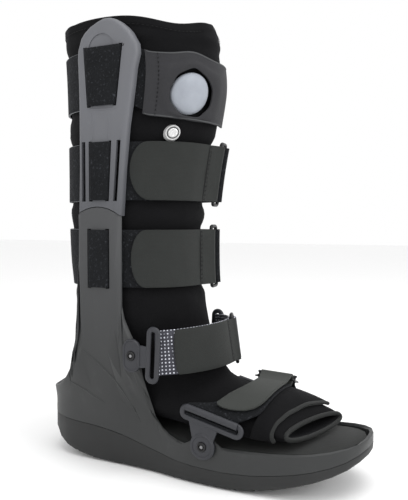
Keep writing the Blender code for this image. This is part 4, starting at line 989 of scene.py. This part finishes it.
def liner():
    count, segments = 200, 120
    points = []
    walls = []
    for r in range(count):
        row = (len(LINER) - 1) * r / (count - 1)
        thin = 1 - (1 - TOE_WALL / LINER_WALL) * smoothstep(TOE_WALL_ROW, len(LINER) - 1, row)
        walls.append(thin)
        for k in range(segments):
            angle = 360 * k / segments - 180
            plain = liner_point(row, angle)
            points.append(liner_point(row, angle, liner_swell(row, angle, plain)))
    made = mesh_piece("liner_velour", points, grid_faces(count, segments, True))
    group = made.vertex_groups.new(name="wall")
    for r, thin in enumerate(walls):
        group.add(list(range(r * segments, (r + 1) * segments)), thin, "REPLACE")
    thick = made.modifiers.new("padding", "SOLIDIFY")
    thick.thickness = LINER_WALL
    thick.offset = -1
    thick.vertex_group = "wall"
    place(made, VELOUR, ["liner", "liner_foot"], "liner_fleece", 60)


def liner_edges():
    path = [liner_point(0.02, 360 * k / 140, -0.0030) + Vector((0, 0, -0.0010)) for k in range(140)]
    place(tube("rim_binding", path, 0.0050, True, 12, 0.62, Vector((0, 0, 1))), VELOUR, slot="liner_fleece")
    toe = [liner_point(18.97, 360 * k / 120, -0.0013) for k in range(120)]
    place(tube("toe_binding", toe, 0.0021, True, 10, 0.9, Vector((0, 1, 0))), BINDING, slot="liner_fleece")
    runs = []
    for k in range(HEM_STITCHES):
        spot = []
        for part in (0.0, 0.62):
            angle = 360 * (k + part) / HEM_STITCHES
            rim = liner_point(0.0, angle)
            spot.append(leg_point(angle, HEM_STITCH_LIFT, min(rim.z - HEM + 0.0004, HEM_STITCH_TOP)))
        out = Vector((spot[0].x, spot[0].y, 0)).normalized()
        runs.append((spot[0], spot[1], out))
    stitches("rim_hem_stitches", runs, BLACK_THREAD, 0.0003, "liner_fleece")


liner()
liner_edges()


# Toe flap

FLAP_WALL, FLAP_LIFT = 0.0026, 0.0036
FLAP_FIRST, FLAP_LAST = 16.0, 18.0


def toe_flap():
    """The cloth flap over the forefoot with its bound front edge."""
    rows = []
    for i in range(15):
        row = FLAP_FIRST + (FLAP_LAST - FLAP_FIRST) * i / 14
        reach = i / 14
        path = []
        for k in range(57):
            angle = 108 - 168 * k / 56
            back = 0.3 * smoothstep(10, 100, angle) * reach
            wave = 0.0008 * reach * noise.noise(Vector((angle * 0.045, row * 0.9, 1.7)))
            path.append(liner_point(row - back, angle, FLAP_LIFT + wave))
        rows.append(path)
    made = ribbon("toe_flap_cloth", rows, FLAP_WALL, 0.0008)
    made.data.flip_normals()
    place(made, VELOUR, "toe_flap", "liner_fleece", 60)
    edge = rows[-1]
    out = [(at - at.lerp(Vector((0, at.y, 0.045)), 0.2)).normalized() for at in edge]
    bound = tube("toe_flap_binding", edge, 0.0024, False, 10, 0.85, out, 0.25)
    bound = place(bound, BINDING, slot="liner_fleece")
    cloth(made)


toe_flap()


# Loops and their rivets

LOOP_THICKNESS = 0.0034
ANKLE_RIVET = (-0.0348, 0.1083)
ANKLE_FRAME = (-0.0557, 0.1102)
ANKLE_FRAME_WIDTH, ANKLE_FRAME_HEIGHT = 0.0134, 0.0494
ANKLE_TILT = 2.6
FOREFOOT_WIDTH = 0.108
FORE_RIVET = (-0.0983, 0.0355)
FORE_RIVET_RADIUS, FORE_RIM = 0.0114, 0.0094
FORE_FRAME = (-0.1063, 0.0577)
FORE_FRAME_LENGTH, FORE_FRAME_WIDTH, FORE_TILT = 0.060, 0.0138, 13.4
FORE_SLOT_LENGTH, FORE_SLOT_DROP = 0.051, 0.0012
ROD = 0.0024
RIVET_RADIUS, RIVET_SIDES = 0.0042, 32


def rounded_box(middle, width, height, radius, turn=0.0, steps=8):
    made = []
    c, s = math.cos(math.radians(turn)), math.sin(math.radians(turn))
    for corner in range(4):
        cy = (width / 2 - radius) * (1 if corner in (0, 3) else -1)
        cz = (height / 2 - radius) * (1 if corner in (0, 1) else -1)
        for i in range(steps + 1):
            a = math.radians(90 * corner + 90 * i / steps)
            y, z = cy + radius * math.cos(a), cz + radius * math.sin(a)
            made.append((middle[0] + y * c - z * s, middle[1] + y * s + z * c))
    return made


def inset(outline, amount):
    made = []
    for i, here in enumerate(outline):
        a = (Vector(here) - Vector(outline[i - 1])).normalized()
        b = (Vector(outline[(i + 1) % len(outline)]) - Vector(here)).normalized()
        across = Vector((-(a + b).y, (a + b).x)).normalized()
        made.append(tuple(Vector(here) + across * amount))
    return made


def plate(name, outline, inner, outer, side, edge):
    """A flat plate with rounded edges: the outline runs anticlockwise as (y, z)."""
    rings = [(inner, edge), (inner + edge, 0.0), (outer - edge, 0.0)]
    rings += [(outer - 0.3 * edge, 0.3 * edge), (outer, edge)]
    points = [(side * x, y, z) for x, amount in rings for y, z in inset(outline, amount)]
    count = len(outline)
    faces = grid_faces(len(rings), count, True)
    faces.append(tuple(range(count)))
    faces.append(tuple((len(rings) - 1) * count + k for k in range(count)))
    made = mesh_piece(name, points, faces)
    outward(made.data)
    return made


def joined(name, parts):
    """One mesh from several."""
    whole = bmesh.new()
    for part in parts:
        whole.from_mesh(part.data)
        bpy.data.objects.remove(part)
    mesh = bpy.data.meshes.new(name)
    whole.to_mesh(mesh)
    whole.free()
    return bpy.data.objects.new(name, mesh)


def rod_frame(middle, width, height, turn, inner, side):
    corner = min(width, height) / 2 - ROD - 0.0001
    outline = rounded_box(middle, width - 2 * ROD, height - 2 * ROD, corner, turn, 10)
    path = [Vector((side * (inner + LOOP_THICKNESS / 2), y, z)) for y, z in outline]
    return tube("rod", path, ROD, True, 14, LOOP_THICKNESS / 2 / ROD, Vector((side, 0, 0)))


def rivet(label, middle, inner, side):
    top = inner + LOOP_THICKNESS
    # painted shade: the cup round the rivet head takes the black wire finish to stand for the dark of a countersunk
    # recess
    ring = [(0.30, top - 0.0006), (1.0, top - 0.0006), (1.04, top + 0.0006), (0.92, top + 0.0014)]
    ring += [(0.62, top + 0.0014), (0.50, top + 0.0004), (0.25, top + 0.0003)]
    head = [(0.15, top), (0.38, top), (0.38, top + 0.0008), (0.28, top + 0.0013), (0.10, top + 0.0015)]
    for name, profile, finish, node, slot in (
        (f"{label}_rivet_shade_cup", ring, WIRE, None, "black_plastic"),
        (f"{label}_rivet_head", head, STEEL, label, "rivet_metal"),
    ):
        turns = [2 * math.pi * i / RIVET_SIDES for i in range(RIVET_SIDES)]
        points = []
        for share, x in profile:
            r = share * RIVET_RADIUS
            points += [(side * x, middle[0] + r * math.cos(a), middle[1] + r * math.sin(a)) for a in turns]
        faces = grid_faces(len(profile), RIVET_SIDES, True)
        last = (len(profile) - 1) * RIVET_SIDES
        faces += [tuple(range(RIVET_SIDES)), tuple(last + k for k in range(RIVET_SIDES))]
        made = mesh_piece(name, points, faces)
        outward(made.data)
        place(made, finish, node, slot, 50)


def ankle_loop(label, side):
    inner = UPRIGHT_SPAN / 2 + GAP
    outer = inner + LOOP_THICKNESS
    frame_part = rod_frame(ANKLE_FRAME, ANKLE_FRAME_WIDTH, ANKLE_FRAME_HEIGHT, ANKLE_TILT, inner, side)
    front, back = ANKLE_FRAME[0] + 0.22 * ANKLE_FRAME_WIDTH, ANKLE_RIVET[0] - 0.0036
    z = ANKLE_RIVET[1]
    neck = [(front, z - 0.0088), (back, z - 0.0105), (back, z + 0.0100), (front, z + 0.0088)]
    lug = rounded_box(ANKLE_RIVET, 0.0172, 0.0290, 0.0082, 0, 10)
    rim = rounded_box(ANKLE_RIVET, 0.0172 - 0.0022, 0.0290 - 0.0022, 0.0070, 0, 10)
    rim_path = [Vector((side * outer, y, z)) for y, z in rim]
    parts = [
        frame_part,
        plate("neck", neck, inner + 0.0003, outer - 0.0005, side, 0.0006),
        plate("lug", lug, inner + 0.0001, outer, side, 0.0009),
        tube("rim", rim_path, 0.0008, True, 8, 0.7, Vector((side, 0, 0))),
    ]
    place(joined(f"ankle_loop_{label}_moulding", parts), LOOPS, f"ankle_loop_{label}", "black_plastic", 50)
    rivet(f"ankle_rivet_{label}", ANKLE_RIVET, inner, side)


def forefoot_loop(label, side):
    inner = FOREFOOT_WIDTH / 2 + GAP
    outer = inner + LOOP_THICKNESS
    frame_part = rod_frame(FORE_FRAME, FORE_FRAME_LENGTH, FORE_FRAME_WIDTH, FORE_TILT, inner, side)
    neck = [(-0.1130, 0.0520), (-0.1075, 0.0380), (-0.0895, 0.0380), (-0.0855, 0.0580)]
    across = 2 * FORE_RIVET_RADIUS
    lug = rounded_box(FORE_RIVET, across, across, 0.99 * FORE_RIVET_RADIUS, 0, 12)
    c, s = math.cos(math.radians(FORE_TILT)), math.sin(math.radians(FORE_TILT))
    half = FORE_FRAME_LENGTH / 2 - 0.006
    rise = FORE_FRAME_WIDTH / 2 - ROD
    bar = []
    for k in (-1, -0.97, -0.5, 0, 0.5, 0.97, 1):
        y, z = FORE_FRAME[0] + half * k * c - rise * s, FORE_FRAME[1] + half * k * s + rise * c
        bar.append(Vector((side * (outer - 0.0006), y, z)))
    disc = []
    for a in (2 * math.pi * k / 40 for k in range(40)):
        y, z = FORE_RIVET[0] + FORE_RIM * math.cos(a), FORE_RIVET[1] + FORE_RIM * math.sin(a)
        disc.append(Vector((side * outer, y, z)))
    parts = [
        frame_part,
        plate("neck", neck, inner + 0.0003, outer - 0.0005, side, 0.0006),
        plate("lug", lug, inner + 0.0001, outer, side, 0.0009),
        tube("bar", bar, 0.0031, False, 14, 0.8, Vector((side, 0, 0))),
        tube("rim", disc, 0.0008, True, 8, 0.7, Vector((side, 0, 0))),
    ]
    place(joined(f"forefoot_loop_{label}_moulding", parts), LOOPS, f"forefoot_loop_{label}", "black_plastic", 50)
    rivet(f"forefoot_rivet_{label}", FORE_RIVET, inner, side)


for label, side in (("right", -1), ("left", 1)):
    ankle_loop(label, side)
    forefoot_loop(label, side)


# Ankle strap

ANKLE_STRAP_WIDTH = 0.0385
ANKLE_MIDDLE_Y, ANKLE_BULGE_HIGH, ANKLE_BULGE_LOW = -0.045, 0.0455, 0.052
ANKLE_RISE = 0.004
ANKLE_RING_ANGLE, ANKLE_TAB_ANGLE = -25.0, 60.0


def ankle_point(angle, lift, share):
    a = math.radians(angle)
    bulge = ANKLE_BULGE_LOW + (ANKLE_BULGE_HIGH - ANKLE_BULGE_LOW) * share + lift
    half = UPRIGHT_SPAN / 2 - 0.0030 + lift
    low = ANKLE_FRAME[1] - ANKLE_STRAP_WIDTH / 2 + ANKLE_RISE * math.cos(a)
    return Vector((-half * math.sin(a), ANKLE_MIDDLE_Y - bulge * math.cos(a), low + ANKLE_STRAP_WIDTH * share))


def ankle_pieces():
    slot_y = ANKLE_FRAME[0] - 0.0016
    half = UPRIGHT_SPAN / 2 - 0.0030
    thickness = 0.0016
    spread = RING_SPAN / 2 / step_length(lambda a, d: ankle_point(a, d, 0.5), ANKLE_RING_ANGLE)
    near, far = ANKLE_RING_ANGLE + spread, ANKLE_RING_ANGLE - spread
    gap = STRAP_THICKNESS / 2 + GAP + RING_RADIUS
    strap_rows, anchor_rows, tab_rows = [], [], []
    for i in range(11):
        share = i / 10
        z = ankle_point(90, 0, share).z
        for side, angle, rows in ((-1, 74, strap_rows), (1, -74, anchor_rows)):
            path = [Vector((side * (half + 0.0035), slot_y, z)), Vector((side * (half + 0.0018), slot_y, z))]
            corner = Vector((side * half, slot_y, z))
            path += turn_corner(path[-1], corner, ankle_point(angle, 0, share), 0.0012)[1:]
            if side < 0:
                path += [ankle_point(74 + (near - 74) * k / 36, 0, share) for k in range(37)]
            else:
                path += [ankle_point(-74 + (far + 74) * k / 16, 0, share) for k in range(17)]
                path += turn_round(lambda a, d: ankle_point(a, d, share), far, 0.0, 2 * gap, 1)[::-1][1:]
                path.append(ankle_point(far - 9, 1.7 * gap, share))
            rows.append(path)
        across = 2 * share - 1
        lift = thickness / 2 + GAP + TAB_THICKNESS / 2
        span = near + 12 - ANKLE_TAB_ANGLE
        path = [ankle_point(ANKLE_TAB_ANGLE + span * k / 30, lift, share) for k in range(31)]
        cut = ANKLE_STRAP_WIDTH * 0.07 * (1 - math.sqrt(max(0.0, 1 - across * across)))
        path = resample(path, 31, cut)
        path += turn_round(lambda a, d: ankle_point(a, d, share), near, 0.0, 2 * gap, -1, 140)[:-1]
        tab_rows.append(path)
    web = place(ribbon("ankle_web", strap_rows, thickness), DOTTED, "ankle_strap", "webbing")
    anchor = place(ribbon("ankle_anchor_web", anchor_rows, thickness), DOTTED, "ankle_anchor", "webbing")
    tab = place(ribbon("ankle_tab_webbing", tab_rows, TAB_THICKNESS), WEBBING, "ankle_strap_tab", "webbing")
    cloth(web)
    cloth(anchor)
    cloth(tab)
    at = 29
    low, high, middle = tab_rows[0], tab_rows[-1], tab_rows[5]
    ahead = (middle[at + 1] - middle[at]).normalized()
    out = (high[at] - low[at]).normalized().cross(ahead).normalized()
    out = out if out.y < 0 else -out
    lift = out * TAB_THICKNESS / 2
    seam("ankle_tab_seam", low[at] + lift, high[at] + lift, ahead, out, 13, 0.0040)
    over = (RING_RADIUS + 3 * GAP) / ANKLE_STRAP_WIDTH
    corners = [ankle_point(a, gap, s) for a, s in ((near, -over), (near, 1 + over), (far, 1 + over), (far, -over))]
    wire_ring("ankle_ring_wire", corners, RING_RADIUS, "ankle_ring")


ankle_pieces()


# Forefoot strap

FORE_REAR_ROW, FORE_FRONT_ROW = 14.0, 16.1
FORE_LIFT = 0.0066
FORE_TURN = 1.5
FORE_TAB_ANGLE, FORE_RING_ANGLE = 52.0, -38.0
FORE_TAB_BARE = 0.010  # strap left bare between the loop and the tab's tip


def forefoot_rule(share, angle, lift):
    rear = liner_point(FORE_REAR_ROW, angle, FORE_LIFT + lift)
    return rear + (liner_point(FORE_FRONT_ROW, angle, FORE_LIFT + lift) - rear) * share


def forefoot_point(share, angle, lift):
    base = forefoot_rule(share, angle, 0.0)
    along = (forefoot_rule(share, angle + 0.5, 0.0) - forefoot_rule(share, angle - 0.5, 0.0)).normalized()
    ahead = (forefoot_rule(1.0, angle, 0.0) - forefoot_rule(0.0, angle, 0.0)).normalized()
    out = ahead.cross(along).normalized()
    return base + (out if out.z > 0 else -out) * lift


def forefoot_end(share, side):
    tilt = math.radians(FORE_TILT)
    along = (0.5 - share) * (FORE_SLOT_LENGTH - 0.003)
    y = FORE_FRAME[0] + along * math.cos(tilt) + FORE_SLOT_DROP * math.sin(tilt)
    z = FORE_FRAME[1] + along * math.sin(tilt) - FORE_SLOT_DROP * math.cos(tilt)
    x = FOREFOOT_WIDTH / 2 - STRAP_THICKNESS / 2
    corner = Vector((side * x, y, z))
    outer = Vector((side * (x + 0.0035), y, z))
    above = Vector((side * x, y, z + FORE_FRAME_WIDTH * 0.55))
    return [outer] + turn_corner(outer, corner, above, 0.0014) + [above]


def eased(path, count):
    """The path with its corners eased, from a few rounds of averaging, at even steps."""
    made = resample(path, count)
    for _ in range(6):
        made = [made[0]] + [(a + 2 * b + c) / 4 for a, b, c in zip(made, made[1:], made[2:])] + [made[-1]]
    return made


def above_path(path, ahead, lift):
    """The path lifted square to itself and to ahead, on the side that is up at its last point."""
    made, out = [], Vector((0, 0, 1))
    for i in range(len(path) - 1, -1, -1):
        along = (path[min(i + 1, len(path) - 1)] - path[max(i - 1, 0)]).normalized()
        square = ahead.cross(along).normalized()
        out = square if square.dot(out) > 0 else -square
        made.append(path[i] + out * lift)
    return made[::-1]


def forefoot_pieces():
    gap = FORE_TURN * (STRAP_THICKNESS / 2 + GAP + RING_RADIUS)
    spread = FORE_TURN * RING_SPAN / 2 / step_length(lambda a, d: forefoot_point(0.5, a, d), FORE_RING_ANGLE)
    near, far = FORE_RING_ANGLE + spread, FORE_RING_ANGLE - spread
    strap_rows, anchor_rows, tab_rows = [], [], []
    def rise(share):
        above = forefoot_end(share, -1)[-1]
        angles = [58 + (near + 2 - 58) * k / 30 for k in range(31)]
        return eased([above] + [forefoot_point(share, angle, 0.0) for angle in angles], 44)

    for i in range(13):
        share = i / 12
        strap_rows.append(forefoot_end(share, -1)[:-1] + rise(share))
        end = forefoot_end(share, 1)
        way = [forefoot_point(share, -64 + (far + 64) * k / 6, 0.0) for k in range(7)]
        turned = turn_round(lambda a, d: forefoot_point(share, a, d), far, 0.0, 2 * gap, 1)[::-1][1:]
        anchor_rows.append(end + way + turned)
    for i in range(15):
        across = math.sin(math.pi * (i / 14 - 0.5))
        share = 0.5 + 0.47 * across
        lift = STRAP_THICKNESS / 2 + 4.5 * GAP + TAB_THICKNESS / 2
        ahead = (forefoot_point(1.0, FORE_TAB_ANGLE, 0.0) - forefoot_point(0.0, FORE_TAB_ANGLE, 0.0)).normalized()
        below = rise(share)
        turn_place = forefoot_point(share, near + 18, 0.0)
        last = min(range(len(below)), key=lambda k: (below[k] - turn_place).length)
        path = above_path(below[:last], ahead, lift) + [forefoot_point(share, near + 18, lift)]
        rounded = 0.62 * STRAP_WIDTH * (1 - math.sqrt(max(0.0, 1 - across * across)))
        path = resample(path, 41, FORE_TAB_BARE + rounded)
        path += turn_round(lambda a, d: forefoot_point(share, a, d), near, 0.0, 2 * gap, -1, 140)[:-1]
        tab_rows.append(path)
    strap = place(ribbon("forefoot_strap_pile", strap_rows, STRAP_THICKNESS), PILE, "forefoot_strap", "loop_tape")
    anchor = place(ribbon("forefoot_anchor_pile", anchor_rows, STRAP_THICKNESS), PILE, "forefoot_anchor", "loop_tape")
    tab = place(ribbon("forefoot_tab_webbing", tab_rows, TAB_THICKNESS), RIBBED, "forefoot_strap_tab", "webbing")
    cloth(strap)
    cloth(anchor)
    cloth(tab)
    wide = (forefoot_point(1.0, near, gap) - forefoot_point(0.0, near, gap)).length
    over = (0.5 * RING_RADIUS + 1.5 * GAP) / wide
    corners = []
    for angle, ends in ((near, (-over, 1 + over)), (far, (1 + over, -over))):
        rear, front = forefoot_point(0.0, angle, gap), forefoot_point(1.0, angle, gap)
        corners += [rear.lerp(front, share) for share in ends]
    wire_ring("forefoot_ring_wire", corners, 0.5 * RING_RADIUS, "forefoot_ring")


forefoot_pieces()


# The moulded shell, the struts, the sole and the footbed, with eased edges and raised lines

EASED_EDGE = 0.00045
SMOOTH_BELOW = 34
STYLE_LINES = [  # (y, z) along raised lines of the shell's side
    [(0.0270, 0.1150), (0.0258, 0.1142), (0.0140, 0.1045), (0.0021, 0.0943), (-0.0127, 0.0793), (-0.0225, 0.0625), (-0.0303, 0.0435)],
    [(0.0423, 0.0767), (0.0300, 0.0702), (0.0177, 0.0634), (0.0052, 0.0586)],
]
CREASES = [[(-0.0101, 0.3190), (-0.0101, 0.2880)], [(0.0068, 0.3200), (0.0068, 0.2890)]]
WINDOW_LIP = [(-0.0206, 0.3226), (-0.0100, 0.3222), (0.0000, 0.3224), (0.0099, 0.3234)]
# painted shade: a thin black line on the strut's face stands for the dark of the keyhole
KEYHOLE_SHADE = [(-0.0270, 0.3766), (-0.0262, 0.3750), (-0.0245, 0.3746)]


def refined(name, node, finish, slot):
    """The model's solid as one smooth moulding: welded, with its creases eased."""
    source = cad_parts[node]
    mesh = source.data.copy()
    mesh.transform(source.matrix_world)
    tidy = bmesh.new()
    tidy.from_mesh(mesh)
    bmesh.ops.remove_doubles(tidy, verts=tidy.verts, dist=2e-6)
    tidy.to_mesh(mesh)
    tidy.free()
    made = bpy.data.objects.new(name, mesh)
    place(made, finish, node, slot, SMOOTH_BELOW)
    round_edges(made, EASED_EDGE, 3, SMOOTH_BELOW)
    made.modifiers["edge"].harden_normals = True
    made.modifiers["edge"].use_clamp_overlap = True
    return made


def side_of(node):
    """The model's solid, ready for rays."""
    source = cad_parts[node]
    points = [source.matrix_world @ vertex.co for vertex in source.data.vertices]
    return BVHTree.FromPolygons(points, [tuple(face.vertices) for face in source.data.polygons])


def on_side(solid, y, z, side):
    """The outermost point of a solid's side at a place of the side view, with its normal."""
    at, normal, _, _ = solid.ray_cast(Vector((side * 0.1, y, z)), Vector((-side, 0, 0)))
    if at is None:
        return Vector((side * UPRIGHT_SPAN / 2, y, z)), Vector((side, 0, 0))
    return at, normal


def raised_line(name, node, places, side, finish, radius, slot, squash=0.5):
    """A thin raised line on a moulded side, half sunk in it."""
    path = resample([Vector((0, y, z)) for y, z in places], 40)
    for _ in range(3):
        path = path[:1] + [(a + 2 * b + c) / 4 for a, b, c in zip(path, path[1:], path[2:])] + path[-1:]
    solid = side_of(node)
    found = [on_side(solid, at.y, at.z, side) for at in path]
    line = tube(name, [at for at, _ in found], radius, False, 8, squash, [normal for _, normal in found], 0.9)
    place(line, finish, slot=slot)


refined("shell_moulding", "shell", PLASTIC, "shell_plastic")
refined("outsole_moulding", "outsole", RUBBER, "sole_rubber")
refined("footbed_foam_bed", "footbed", FOAM, "footbed_foam")
refined("strut_right_moulding", "strut_upper_right", STRUT, "shell_plastic")
refined("strut_left_moulding", "strut_upper_left", STRUT, "shell_plastic")
for label, side in (("right", -1), ("left", 1)):
    for i, line in enumerate(STYLE_LINES):
        raised_line(f"style_line_{label}_{i}", "shell", line, side, PLASTIC, 0.0013, "shell_plastic")
    for i, line in enumerate(CREASES):
        raised_line(f"crease_{label}_{i}", f"strut_upper_{label}", line, side, STRUT, 0.0007, "shell_plastic")
    raised_line(f"window_lip_{label}", f"strut_upper_{label}", WINDOW_LIP, side, STRUT, 0.0011, "shell_plastic")
    # painted shade: the keyhole is drawn as a black line
    raised_line(f"keyhole_{label}", f"strut_upper_{label}", KEYHOLE_SHADE, side, WIRE, 0.0005, "shell_plastic")


# Floor and light


def floor():
    made = mesh_piece("floor", [(-6, -6, 0), (6, -6, 0), (6, 6, 0), (-6, 6, 0)], [(0, 1, 2, 3)])
    bpy.context.scene.collection.objects.link(made)
    finish = bpy.data.materials.new("pale_floor")
    finish.use_nodes = True
    shader = finish.node_tree.nodes["Principled BSDF"]
    shader.inputs["Base Color"].default_value = (0.93, 0.93, 0.93, 1)
    shader.inputs["Roughness"].default_value = 0.9
    shader.inputs["Specular IOR Level"].default_value = 0.1
    made.data.materials.append(finish)


def lamp(name, place, size, power, target=(0, -0.04, 0.18)):
    data = bpy.data.lights.new(name, "AREA")
    data.shape = "DISK"
    data.size = size
    data.energy = power
    made = bpy.data.objects.new(name, data)
    made.location = place
    made.rotation_euler = (Vector(target) - Vector(place)).to_track_quat("-Z", "Y").to_euler()
    bpy.context.scene.collection.objects.link(made)


def light():
    world = bpy.data.worlds.new("studio")
    world.use_nodes = True
    world.node_tree.nodes["Background"].inputs["Color"].default_value = (1, 1, 1, 1)
    world.node_tree.nodes["Background"].inputs["Strength"].default_value = 1.0
    bpy.context.scene.world = world
    bpy.context.scene.view_settings.view_transform = "Standard"
    lamp("overhead", (-0.3, -0.5, 1.6), 1.2, 10)
    lamp("front", (-0.25, -1.5, 0.8), 0.9, 8)
    lamp("left", (-1.5, 0.5, 0.9), 0.8, 3)


floor()
light()
